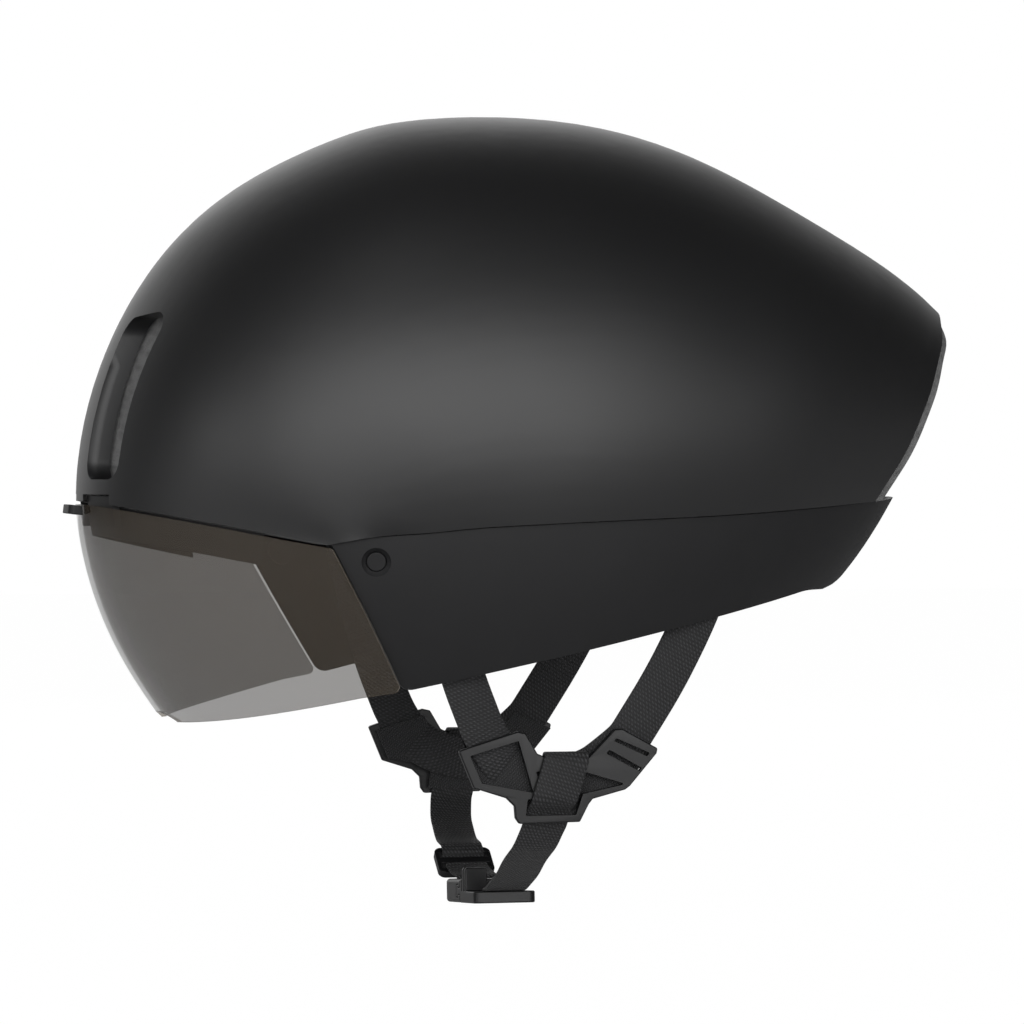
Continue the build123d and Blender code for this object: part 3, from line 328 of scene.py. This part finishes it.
def polished_edge_painted_highlight():
    """Cut and polished edge of the lens. Its pale colour is a painted highlight where light gathers."""
    # The pale base colour is a painted highlight along the lens's cut edges, not the edge's own tint.
    material, tree, shader = finish("polished_lens_edge_painted_highlight", "#a89d8e", 0.22, Alpha=0.8)
    cloud_size = 4 * mm
    where = coordinates(tree)
    cloud = add(tree, "ShaderNodeTexNoise", [(where, "Vector")], Scale=1 / cloud_size, Detail=1.0)
    roughness_range(tree, shader, cloud.outputs["Fac"], 0.16, 0.28)
    return material


def brushed_metal(name, colour, roughness):
    """Nickel-plated or blackened steel with fine marks."""
    material, tree, shader = finish(name, colour, roughness, Metallic=1.0)
    mark_size = 0.3 * mm
    where = coordinates(tree)
    marks = add(tree, "ShaderNodeTexNoise", [(where, "Vector")], Scale=1 / mark_size, Detail=2.0)
    roughness_range(tree, shader, marks.outputs["Fac"], roughness - 0.06, roughness + 0.08)
    bump(tree, shader, marks.outputs["Fac"], 0.01 * mm, 0.3)
    return material


# %% Fabrics
def woven_webbing():
    """Polyester webbing: slanting rows of yarn 1.1 mm apart, crossed by rows 1.3 mm apart."""
    material, tree, shader = finish("woven_polyester_webbing", "#1b1b1d", 0.74, Sheen_Weight=0.05,
                                    Sheen_Roughness=0.5, Specular_IOR_Level=0.4)
    row, cross_row = 1.1 * mm, 1.3 * mm
    slant = math.radians(35)
    wave_scale = 2 * math.pi / 20
    where = coordinates(tree, "UV")
    turned = add(tree, "ShaderNodeMapping", [(where, "Vector")], Rotation=(0, 0, slant))
    rows = add(tree, "ShaderNodeTexWave", [(turned.outputs["Vector"], "Vector")], bands_direction="X",
               Scale=wave_scale / row, Distortion=0.3, Detail=1.0)
    cross = add(tree, "ShaderNodeTexWave", [(where, "Vector")], bands_direction="Y",
                Scale=wave_scale / cross_row, Distortion=0.2, Detail=1.0)
    both = add(tree, "ShaderNodeMath", operation="MULTIPLY")
    tree.links.new(rows.outputs["Fac"], both.inputs[0])
    tree.links.new(cross.outputs["Fac"], both.inputs[1])
    mixed(tree, shader, both.outputs[0], linear("#0c0c0d"), linear("#343436"))
    bump(tree, shader, both.outputs[0], 0.35 * mm, 0.8)
    return material


def brushed_knit():
    """Black brushed knit over thin foam, with a soft nap."""
    material, tree, shader = finish("brushed_knit", "#1b1b1d", 0.9, Sheen_Weight=0.5,
                                    Sheen_Roughness=0.4)
    loop_size, nap_size = 0.9 * mm, 0.4 * mm
    where = coordinates(tree)
    loops = add(tree, "ShaderNodeTexVoronoi", [(where, "Vector")], Scale=1 / loop_size)
    nap = add(tree, "ShaderNodeTexNoise", [(where, "Vector")], Scale=1 / nap_size, Detail=3.0)
    height = add(tree, "ShaderNodeMath", operation="ADD")
    tree.links.new(loops.outputs["Distance"], height.inputs[0])
    tree.links.new(nap.outputs["Fac"], height.inputs[1])
    mixed(tree, shader, nap.outputs["Fac"], linear("#141416"), linear("#2a2a2c"))
    bump(tree, shader, height.outputs[0], 0.2 * mm, 0.6)
    return material


finishes = {
    "shell": painted_polycarbonate(),
    "skirt": moulded_plastic("matt_skirt_plastic", "#131314", 0.58, 0.6 * mm),
    "foam": expanded_foam(),
    "lens": tinted_lens(),
    # The lens's rims and edges take a pale finish that is a painted highlight.
    "lens_edge": polished_edge_painted_highlight(),
    "tab": moulded_plastic("soft_black_rubber", "#0e0e0f", 0.55, 0.5 * mm),
    "trim": moulded_plastic("black_nylon_trim", "#111112", 0.55, 0.5 * mm),
    "hardware": moulded_plastic("grey_black_acetal", "#0e0e0f", 0.40, 0.5 * mm),
    "dial": moulded_plastic("soft_touch_dial", "#19191a", 0.60, 0.5 * mm),
    "magnet": brushed_metal("nickel_plated_steel", "#8d8d90", 0.32),
    "screw": brushed_metal("blackened_steel", "#3a3a3c", 0.40),
    "pad": brushed_knit(),
    "webbing": woven_webbing(),
}
slot_of = {part["node"]: part["material_slot"] for part in frame["record"]["subparts"]}
body_nodes = frame["record"]["behaviour"]["bodies"]
body_of = {node: body for body, nodes in body_nodes.items() for node in nodes}
print("finishes:", len(finishes))

# %% [markdown]
# ## Smooth skins for the big shells
# The frame's shells are flat triangles, which shows on glossy lacquer. Each shell is copied, merged and
# its long edges are divided. Then every corner on a skin takes its normal from a finely sampled model
# of the same form: ribs for the hood, level outlines for the skirt and the visor. So the light runs
# over the shell without facets, while vents, lips and notches stay exactly where they are. Two edges
# are moved as well: the lens's rear edge closes up to the skirt, and the skirt's low rear corner is
# rounded.

# %% Tables of the hood and of the lower form, as shares
# The shares below are of the shell's length, its height over the brow, half its width and the skirt's
# depth, as in the construction.
length, crown, half_width, depth = 310 * mm, 137 * mm, 108 * mm, 100 * mm
apex_x_shares = (-0.411, -0.414, -0.401, -0.363, -0.301, -0.203, -0.083,
                 0.054, 0.198, 0.331, 0.466, 0.597, 0.694)
apex_z_shares = (-0.088, 0.0, 0.234, 0.464, 0.672, 0.848, 0.966,
                 1.001, 0.972, 0.869, 0.709, 0.507, 0.336)
foot_x_shares = (-0.178, -0.182, -0.158, -0.126, -0.081, -0.032, 0.023,
                 0.087, 0.161, 0.248, 0.355, 0.479, 0.590)
foot_z_shares = (-0.194, -0.106, -0.095, -0.084, -0.077, -0.066, -0.058,
                 -0.051, -0.044, -0.036, -0.022, -0.001, 0.020)
foot_y_shares = (0.826, 0.840, 0.858, 0.880, 0.905, 0.926, 0.938,
                 0.940, 0.916, 0.858, 0.744, 0.532, 0.350)
belly_y_shares = (0.915, 0.928, 0.872, 0.888, 0.928, 0.968, 0.989,
                  0.995, 0.972, 0.912, 0.792, 0.574, 0.385)
belly_height_shares = (-0.89, -0.89, -0.200, 0.060, 0.155, 0.205, 0.225,
                       0.230, 0.240, 0.245, 0.250, 0.250, 0.250)
rib_roundness = 2.12
level_z_shares = (0.14, -0.06, -0.26, -0.46, -0.66, -0.86)
level_nose_shares = (-0.4106, -0.4097, -0.3974, -0.3745, -0.3390, -0.2935)
level_tail_shares = (0.571, 0.533, 0.487, 0.423, 0.345, 0.258)
level_y_shares = (0.954, 0.931, 0.889, 0.824, 0.736, 0.630)
widest_share = 0.026
nose_roundness, tail_roundness = 2.15, 2.10

# %% Natural spline between rows
def smooth_rows(rows, between):
    """Rows of points through which a natural cubic spline runs, with extra rows between them."""
    rows = np.array(rows, float)
    count = len(rows)
    flat = rows.reshape(count, -1)
    matrix = np.zeros((count, count))
    wanted = np.zeros_like(flat)
    matrix[0, 0] = matrix[-1, -1] = 1
    for index in range(1, count - 1):
        matrix[index, index - 1:index + 2] = (1, 4, 1)
        wanted[index] = 6 * (flat[index - 1] - 2 * flat[index] + flat[index + 1])
    bend = np.linalg.solve(matrix, wanted)
    made = []
    for step in range((count - 1) * between + 1):
        low = min(step // between, count - 2)
        t = step / between - low
        s = 1 - t
        row = s * flat[low] + t * flat[low + 1]
        row = row + ((s ** 3 - s) * bend[low] + (t ** 3 - t) * bend[low + 1]) / 6
        made.append(row.reshape(rows.shape[1:]))
    return made


# %% Ribs and levels
def rib_row(index, inset):
    """Points over one rib, from a little below the left foot to a little below the right one."""
    foot = np.array((foot_x_shares[index] * length, 0, foot_z_shares[index] * crown))
    apex = np.array((apex_x_shares[index] * length, 0, apex_z_shares[index] * crown))
    height = np.linalg.norm(apex - foot)
    up = (apex - foot) / height
    belly = belly_y_shares[index] * half_width - inset
    low = foot_y_shares[index] * half_width - inset
    at = belly_height_shares[index]
    steps, steps_below = 26, 2
    half = []
    for step in range(-steps_below, steps + 1):
        share = math.sin(math.pi / 2 * step / steps)
        reach = abs(share - at)
        if share >= at:
            out = belly * (1 - min(1, reach / (1 - at)) ** rib_roundness) ** (1 / rib_roundness)
        else:
            out = belly - (belly - low) * (reach / at) ** 2
        half.append((out, share * (height - inset)))
    left = [foot + up * rise + np.array((0, -out, 0)) for out, rise in half]
    right = [foot + up * rise + np.array((0, out, 0)) for out, rise in reversed(half[:-1])]
    return left + right


def level_row(index, inset):
    """Points round the lower form at one level."""
    centre = widest_share * length
    nose = centre - level_nose_shares[index] * length - inset
    tail = level_tail_shares[index] * length - centre - inset
    out = level_y_shares[index] * half_width - inset
    points = []
    steps = 96
    for step in range(steps):
        angle = 2 * math.pi * step / steps
        along, across = math.cos(angle), math.sin(angle)
        power = 2 / (tail_roundness if along > 0 else nose_roundness)
        reach = tail if along > 0 else nose
        x = centre + math.copysign(abs(along) ** power, along) * reach
        y = math.copysign(abs(across) ** power, across) * out
        points.append((x, y, level_z_shares[index] * depth))
    return points


def skin_tree(rows, closed):
    """Search tree of a skin bridged through rows of points, and the corners and normals of its faces."""
    sheet = bmesh.new()
    chains = []
    for row in rows:
        verts = [sheet.verts.new(point) for point in row]
        pairs = list(zip(verts, verts[1:]))
        if closed:
            pairs.append((verts[-1], verts[0]))
        chains.append([sheet.edges.new(pair) for pair in pairs])
    for first, second in zip(chains, chains[1:]):
        bmesh.ops.bridge_loops(sheet, edges=first + second)
    bmesh.ops.recalc_face_normals(sheet, faces=sheet.faces)
    sheet.normal_update()
    sheet.faces.ensure_lookup_table()
    tree = BVHTree.FromBMesh(sheet)
    centre = sum((v.co for v in sheet.verts), Vector()) / len(sheet.verts)
    probe = sheet.faces[len(sheet.faces) // 2]
    outward = 1 if probe.normal.dot(probe.calc_center_median() - centre) > 0 else -1
    faces = [[(v.co.copy(), v.normal * outward) for v in face.verts] for face in sheet.faces]
    sheet.free()
    return tree, faces


def hood_skin(inset):
    """Skin of the hood, drawn in by inset, with six steps from rib to rib."""
    ribs = [rib_row(index, inset) for index in range(len(apex_x_shares))]
    return skin_tree(smooth_rows(ribs, 6), closed=False)


def lower_skin(inset):
    """Skin of the lower form, drawn in by inset, with eight steps from level to level."""
    levels = [level_row(index, inset) for index in range(len(level_z_shares))]
    return skin_tree(smooth_rows(levels, 8), closed=True)


# %% Copy a node and smooth its skins
def merged_copy(node):
    """Bmesh copy of a frame node, with doubled corners merged."""
    merge_gap = 0.002 * mm
    copy = bmesh.new()
    copy.from_mesh(frame["nodes"][node].data)
    bmesh.ops.remove_doubles(copy, verts=copy.verts, dist=merge_gap)
    return copy


def finished_piece(name, copy, node):
    """Object of a bmesh that stands for a node, in its finish and on its body."""
    mesh = bpy.data.meshes.new(name)
    copy.to_mesh(mesh)
    copy.free()
    mesh.materials.append(finishes[slot_of[node]])
    piece = bpy.data.objects.new(name, mesh)
    bpy.context.scene.collection.objects.link(piece)
    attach(piece, body_of[node])
    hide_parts(node)
    return piece


def skin_normal(skins, point, normal, reach):
    """Normal of the nearest skin that faces the same way, or None off the skins."""
    facing_alike = 0.93
    best = None
    for (tree, faces), sense in skins:
        spot, _, index, gap = tree.find_nearest(point, reach)
        if spot is None:
            continue
        weights = [1 / ((corner - spot).length + 1e-6) ** 2 for corner, _ in faces[index]]
        blend = sum((way * weight for (_, way), weight in zip(faces[index], weights)), Vector())
        blend = blend.normalized() * sense
        if blend.dot(normal) > facing_alike and (best is None or gap < best[0]):
            best = (gap, blend)
    return None if best is None else best[1]


def close_rear_gap(copy, skins):
    """Draw the lens's rear edge back along its skins, to a fine seam before the skirt.

    The edge is the line from the top point to the low one. The travel fades out over the stretch.
    """
    top_x, top_z = -0.1850 * length, -0.156 * depth
    low_x, low_z = -0.0995 * length, -0.646 * depth
    stretch, closing = 12 * mm, 2.5 * mm
    for vertex in copy.verts:
        edge_x = top_x + (low_x - top_x) * (vertex.co.z - top_z) / (low_z - top_z)
        share = 1 - (edge_x - vertex.co.x) / stretch
        if share > 0:
            nearest = min(skins, key=lambda skin: skin[0][0].find_nearest(vertex.co)[3])
            moved = vertex.co + Vector((closing * min(1, share), 0, 0))
            vertex.co = nearest[0][0].find_nearest(moved)[0]


def round_rear_corner(copy, skins):
    """Round the skirt's low rear corner in side view, by cuts along an arc.

    Angles are degrees from straight down, and a cut's open rim is filled again.
    """
    corner_x, corner_z = 144.5 * mm, -31.6 * mm
    radius, turn, cuts = 34 * mm, 52, 5
    first, last = 14, 46
    centre_x = corner_x - radius * math.tan(math.radians(turn / 2))
    centre_z = corner_z + radius
    for cut in range(cuts):
        angle = math.radians(first + (last - first) * cut / (cuts - 1))
        way = Vector((math.sin(angle), 0, -math.cos(angle)))
        place = Vector((centre_x, 0, centre_z)) + way * radius
        parts = copy.verts[:] + copy.edges[:] + copy.faces[:]
        made = bmesh.ops.bisect_plane(copy, geom=parts, plane_co=place, plane_no=way, clear_outer=True)
        cut_edges = [item for item in made["geom_cut"] if isinstance(item, bmesh.types.BMEdge)]
        rim = [edge for edge in cut_edges if edge.is_boundary]
        if rim:
            bmesh.ops.triangle_fill(copy, edges=rim, use_beauty=True)
    bmesh.ops.triangulate(copy, faces=[face for face in copy.faces if len(face.verts) > 3])
    bmesh.ops.recalc_face_normals(copy, faces=copy.faces)


def lacquered(name, node, skins, longest=6.0 * mm, reshape=None, edge_finish=None):
    """Piece that copies a shell node and carries the skins' smooth normals.

    Faces on no skin, such as rims and edges, keep their own normals, and take the edge finish if given.
    """
    reach = 0.6 * mm
    rounds, face_limit = 4, 90000
    sharp_angle = math.radians(28)
    copy = merged_copy(node)
    for _ in range(rounds):
        long = [edge for edge in copy.edges if edge.calc_length() > longest]
        if not long or len(copy.faces) > face_limit:
            break
        bmesh.ops.subdivide_edges(copy, edges=long, cuts=1, use_grid_fill=False)
        bmesh.ops.triangulate(copy, faces=[face for face in copy.faces if len(face.verts) > 3])
    if reshape:
        reshape(copy, skins)
    piece = finished_piece(name, copy, node)
    mesh = piece.data
    mesh.polygons.foreach_set("use_smooth", [True] * len(mesh.polygons))
    mesh.set_sharp_from_angle(angle=sharp_angle)
    corners = [Vector(corner.vector) for corner in mesh.corner_normals]
    if edge_finish:
        mesh.materials.append(edge_finish)
    found = 0
    for polygon in mesh.polygons:
        before = found
        for corner in polygon.loop_indices:
            point = mesh.vertices[mesh.loops[corner].vertex_index].co
            way = skin_normal(skins, point, polygon.normal, reach)
            if way is not None:
                corners[corner] = way
                found += 1
        if edge_finish and found == before:
            polygon.material_index = 1
    mesh.normals_split_custom_set(corners)
    print(name, "triangles", len(mesh.polygons), "smooth corners", found, "of", len(corners))


shell_wall, foam_gap = 1.6 * mm, 0.3 * mm
skirt_inset, skirt_wall = 0.9 * mm, 1.8 * mm
lens_proud, lens_wall = 1.1 * mm, 1.8 * mm
hood_skins = [(hood_skin(0), 1), (hood_skin(shell_wall), -1)]
skirt_skins = [(lower_skin(skirt_inset), 1), (lower_skin(skirt_inset + skirt_wall), -1)]
lens_skins = [(lower_skin(-lens_proud), 1), (lower_skin(lens_wall - lens_proud), -1)]
foam_skins = [(hood_skin(shell_wall + foam_gap), 1)]
lacquered("hood", "upper_shell", hood_skins)
lacquered("ear_skirt", "lower_shell", skirt_skins, reshape=round_rear_corner)
# The visor's rims and edges get the painted-highlight edge finish.
lacquered("visor", "visor_lens", lens_skins, reshape=close_rear_gap, edge_finish=finishes["lens_edge"])
lacquered("foam_liner", "liner", foam_skins, longest=12 * mm)

# %% [markdown]
# ## Small hard parts
# Moulded and turned parts never have razor edges. Each is copied from the frame, its flat areas are
# dissolved back to single faces, and its edges get a small rounded bevel that catches the light.

# %% Bevelled copies
def moulded(node, radius):
    """Piece that copies a node and rounds its sharp edges."""
    flat_angle, sharp_angle, bevel_angle = math.radians(0.8), math.radians(32), math.radians(38)
    copy = merged_copy(node)
    bmesh.ops.dissolve_limit(copy, angle_limit=flat_angle, verts=copy.verts, edges=copy.edges)
    piece = finished_piece(node + "_moulded", copy, node)
    mesh = piece.data
    mesh.polygons.foreach_set("use_smooth", [True] * len(mesh.polygons))
    mesh.set_sharp_from_angle(angle=sharp_angle)
    edge = piece.modifiers.new("edge_radius", "BEVEL")
    edge.width = radius
    edge.segments = 3
    edge.limit_method = "ANGLE"
    edge.angle_limit = bevel_angle
    edge.harden_normals = True
    edge.miter_outer = "MITER_ARC"
    return piece


edge_radii = {"tab": 0.35 * mm, "trim": 0.20 * mm, "hardware": 0.70 * mm, "dial": 0.20 * mm,
              "magnet": 0.10 * mm, "screw": 0.10 * mm}
# The parking pins hold magnets, but show a black cap.
for node, slot in slot_of.items():
    if slot in edge_radii:
        made = moulded(node, edge_radii[slot])
        if node.startswith("park_pin"):
            made.data.materials[0] = finishes["trim"]
print("small hard parts:", sum(slot in edge_radii for slot in slot_of.values()))

# %% [markdown]
# ## Webbing
# The straps are flat woven bands. Each run is modelled directly: a rounded strip section is set square
# to a smooth line and bridged from station to station, and its UV map carries real lengths, so the
# weave keeps its size and follows every fold. The left chin strap ends at the buckle's tongue, so it is
# attached to neither body.

# %% Runs of the harness as shares
# The shares are of the shell's length, half its width and the harness's depth.
harness = 145 * mm
strap_width, strap_thickness = 15.5 * mm, 1.3 * mm
front_run_shares = ((-0.056, 0.690, -0.1065), (-0.056, 0.690, -0.135), (-0.0225, 0.686, -0.410),
                    (0.0030, 0.683, -0.548), (0.022, 0.683, -0.612), (0.045, 0.648, -0.648),
                    (0.075, 0.648, -0.667), (0.112, 0.648, -0.676))
rear_run_shares = ((0.285, 0.630, -0.0640), (0.285, 0.630, -0.095), (0.246, 0.668, -0.283),
                   (0.210, 0.682, -0.426), (0.167, 0.683, -0.569), (0.150, 0.676, -0.600),
                   (0.128, 0.648, -0.640), (0.090, 0.648, -0.664))
chin_run_shares = ((0.0970, 0.664, -0.670), (0.0955, 0.664, -0.612), (0.0950, 0.682, -0.5975),
                   (0.0945, 0.715, -0.5975), (0.0935, 0.728, -0.612), (0.0860, 0.728, -0.665),
                   (0.0795, 0.7275, -0.707), (0.0770, 0.680, -0.734), (0.0720, 0.671, -0.772),
                   (0.0670, 0.615, -0.822), (0.0640, 0.505, -0.862))
left_end_shares = ((0.0670, 0.370, -0.906), (0.0671, 0.255, -0.937), (0.0671, 0.205, -0.9505),
                   (0.0671, 0.172, -0.9530), (0.0671, 0.162, -0.976))
right_end_shares = ((0.0632, 0.470, -0.871), (0.0632, 0.404, -0.878), (0.0632, 0.3835, -0.886),
                    (0.0632, 0.3695, -0.8966), (0.0632, 0.379, -0.9124))
link_run_shares = ((0.0632, 0.336, -0.9355), (0.0632, 0.319, -0.9228), (0.0632, 0.301, -0.9307),
                   (0.0650, 0.273, -0.9393), (0.0668, 0.2426, -0.9441), (0.0671, 0.2148, -0.9455),
                   (0.0671, 0.1935, -0.9510), (0.0671, 0.1917, -0.9697))

# %% Strip along a line
def run_line(shares, side):
    """Places of one run, from its shares."""
    return [Vector((x * length, side * y * half_width, z * harness)) for x, y, z in shares]


def rounded_line(points):
    """Line along given points, with each corner drawn in to a short curve."""
    corner_share, curve_steps = 0.42, 6
    least_gap, spacing = 0.15 * mm, 3 * mm
    made = [points[0]]
    for before, here, after in zip(points, points[1:], points[2:]):
        cut = min((here - before).length, (after - here).length) * corner_share
        start = here + (before - here).normalized() * cut
        end = here + (after - here).normalized() * cut
        for step in range(curve_steps + 1):
            t = step / curve_steps
            made.append(start * (1 - t) ** 2 + here * 2 * t * (1 - t) + end * t ** 2)
    made.append(points[-1])
    dense = [made[0]]
    for point in made[1:]:
        gap = (point - dense[-1]).length
        if gap < least_gap:
            continue
        count = max(1, int(gap / spacing))
        start = dense[-1]
        dense += [start.lerp(point, step / count) for step in range(1, count + 1)]
    return dense


def edge_way(along):
    """Direction of the strap's width for a direction of its run.

    A run that hangs or crosses under the chin keeps its width along X. One that slants forwards or back
    lies flat against the side, and between the two the width turns over.
    """
    turn_starts, turn_length = 0.22, 0.16
    across = Vector((1, 0, 0)) - along * along.x
    flat = along.cross(Vector((0, 1, 0)))
    if flat.x < 0:
        flat = -flat
    share = min(1, max(0, (abs(along.x) - turn_starts) / turn_length))
    return (across.normalized() * (1 - share) + flat.normalized() * share).normalized()


def strip_section():
    """Corners of the strap's section, each as its side across, its side through and three turns."""
    outline = []
    for across_side, through_side in ((1, -1), (1, 1), (-1, 1), (-1, -1)):
        for step in range(3):
            angle = math.radians(45 * step)
            turn = (math.cos(angle), math.sin(angle))
            if across_side * through_side < 0:
                turn = (math.sin(angle), math.cos(angle))
            outline.append((across_side, through_side, turn))
    return outline


def add_strip(strip, uv_places, line, width, thickness):
    """Bridge a strap section along a line into a bmesh, keeping each vertex's place on the weave."""
    corner_share = 0.42
    loops = []
    run = 0.0
    corner = thickness * corner_share
    for index, point in enumerate(line):
        before, after = line[max(index - 1, 0)], line[min(index + 1, len(line) - 1)]
        if index:
            run += (point - line[index - 1]).length
        along = (after - before).normalized()
        across = edge_way(along)
        through = along.cross(across).normalized()
        verts = []
        for across_side, through_side, turn in strip_section():
            out = across_side * (width / 2 - corner + corner * turn[0])
            deep = through_side * (thickness / 2 - corner + corner * turn[1])
            vert = strip.verts.new(point + across * out + through * deep)
            uv_places[vert] = (out, run)
            verts.append(vert)
        loops.append([strip.edges.new(pair) for pair in zip(verts, verts[1:] + verts[:1])])
        if index == 0 or index == len(line) - 1:
            strip.faces.new(verts)
    for first, second in zip(loops, loops[1:]):
        bmesh.ops.bridge_loops(strip, edges=first + second)


def add_ply(strip, uv_places, shares, side):
    """Lay a folded ply of webbing flat behind the divider's window. The shares are of the divider."""
    corners = []
    for x, z in shares:
        place = Vector((divider_x + x * divider_width, side * ply_out, divider_z + z * divider_depth))
        corners.append(strip.verts.new(place))
    face = strip.faces.new(corners)
    grown = bmesh.ops.extrude_face_region(strip, geom=[face])
    lifted = [item for item in grown["geom"] if isinstance(item, bmesh.types.BMVert)]
    bmesh.ops.translate(strip, verts=lifted, vec=(0, side * strap_thickness, 0))
    for vert in corners + lifted:
        uv_places[vert] = (vert.co.x + vert.co.z, vert.co.z - vert.co.x)


def strap(name, node, runs, side, loose=False, plies=()):
    """Webbing piece that stands for a node, made of one or more runs."""
    strip = bmesh.new()
    uv_places = {}
    for shares in runs:
        add_strip(strip, uv_places, rounded_line(run_line(shares, side)), strap_width, strap_thickness)
    for shares in plies:
        add_ply(strip, uv_places, shares, side)
    bmesh.ops.recalc_face_normals(strip, faces=strip.faces)
    layer = strip.loops.layers.uv.new("weave")
    for face in strip.faces:
        for loop in face.loops:
            loop[layer].uv = uv_places[loop.vert]
    mesh = bpy.data.meshes.new(name)
    strip.to_mesh(mesh)
    strip.free()
    mesh.materials.append(finishes["webbing"])
    mesh.polygons.foreach_set("use_smooth", [True] * len(mesh.polygons))
    sharp_angle = math.radians(50)
    mesh.set_sharp_from_angle(angle=sharp_angle)
    piece = bpy.data.objects.new(name, mesh)
    bpy.context.scene.collection.objects.link(piece)
    if not loose:
        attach(piece, body_of[node])
    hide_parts(node)
    print(name, "faces", len(mesh.polygons))
    return piece


divider_x, divider_z = 26.0 * mm, -94.5 * mm
divider_width, divider_depth = 70.0 * mm, 32.0 * mm
ply_out = 71.8 * mm
front_ply_shares = ((-0.460, 0.245), (-0.200, 0.425), (-0.105, -0.200), (-0.395, -0.085))
rear_ply_shares = ((-0.125, 0.080), (0.130, 0.080), (0.175, 0.180), (0.300, 0.440), (0.497, 0.245),
                   (0.366, -0.105), (0.150, -0.215), (0.115, -0.440), (-0.175, -0.440), (-0.165, -0.240),
                   (-0.080, -0.200))
for name, side in (("left", -1), ("right", 1)):
    strap("side_strap_" + name, "side_webbing_" + name, (front_run_shares, rear_run_shares), side,
          plies=(front_ply_shares, rear_ply_shares))
near_strap = strap("chin_strap_left", "chin_webbing_left", (chin_run_shares + left_end_shares,), -1,
                   loose=True)
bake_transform(near_strap)
strap("chin_strap_right", "chin_webbing_right", (chin_run_shares + right_end_shares,), 1)
strap("buckle_link_strap", "chin_link", (link_run_shares,), 1)

# %% [markdown]
# ## Comfort pads
# The pads are thin foam in brushed knit. Each starts as a copy of its solid, is remeshed to even faces
# and then blown up by a short cloth simulation with inner pressure, so that its faces crown a little.

# %% Padded pieces
def cushion(node):
    """Soft pad that stands for a node."""
    voxel = 1.6 * mm
    piece = finished_piece(node + "_knit", merged_copy(node), node)
    remesh = piece.modifiers.new("even_faces", "REMESH")
    remesh.mode = "VOXEL"
    remesh.voxel_size = voxel
    bpy.context.view_layer.update()
    bake_modifiers(piece)
    inflate(piece)
    mesh = piece.data
    mesh.polygons.foreach_set("use_smooth", [True] * len(mesh.polygons))
    soften = piece.modifiers.new("soft_surface", "SUBSURF")
    soften.levels = soften.render_levels = 1


def bake_modifiers(piece):
    """Replace the mesh by its evaluated form and clear the modifiers."""
    graph = bpy.context.evaluated_depsgraph_get()
    made = bpy.data.meshes.new_from_object(piece.evaluated_get(graph))
    piece.modifiers.clear()
    old = piece.data
    piece.data = made
    bpy.data.meshes.remove(old)


def inflate(piece):
    """Short pressure simulation, with each point's travel capped."""
    frames, cap = 10, 0.5 * mm
    rest = [v.co.copy() for v in piece.data.vertices]
    cloth = piece.modifiers.new("knit", "CLOTH")
    cloth.settings.use_pressure = True
    cloth.settings.uniform_pressure_force = 4.0
    cloth.settings.effector_weights.gravity = 0.0
    cloth.settings.quality = 4
    scene = bpy.context.scene
    for number in range(1, frames + 1):
        scene.frame_set(number)
    graph = bpy.context.evaluated_depsgraph_get()
    swollen = piece.evaluated_get(graph).data
    moved = []
    for start, vertex in zip(rest, swollen.vertices):
        step = vertex.co - start
        moved.append(start + step * min(1, cap / max(step.length, 1e-9)))
    piece.modifiers.clear()
    scene.frame_set(1)
    for vertex, place in zip(piece.data.vertices, moved):
        vertex.co = place
    piece.data.update()


for node, slot in slot_of.items():
    if slot == "pad":
        cushion(node)
print("pads made")

# %% Sizes
print("CAD box", [round(v, 4) for v in (*cad_low, *cad_high)])
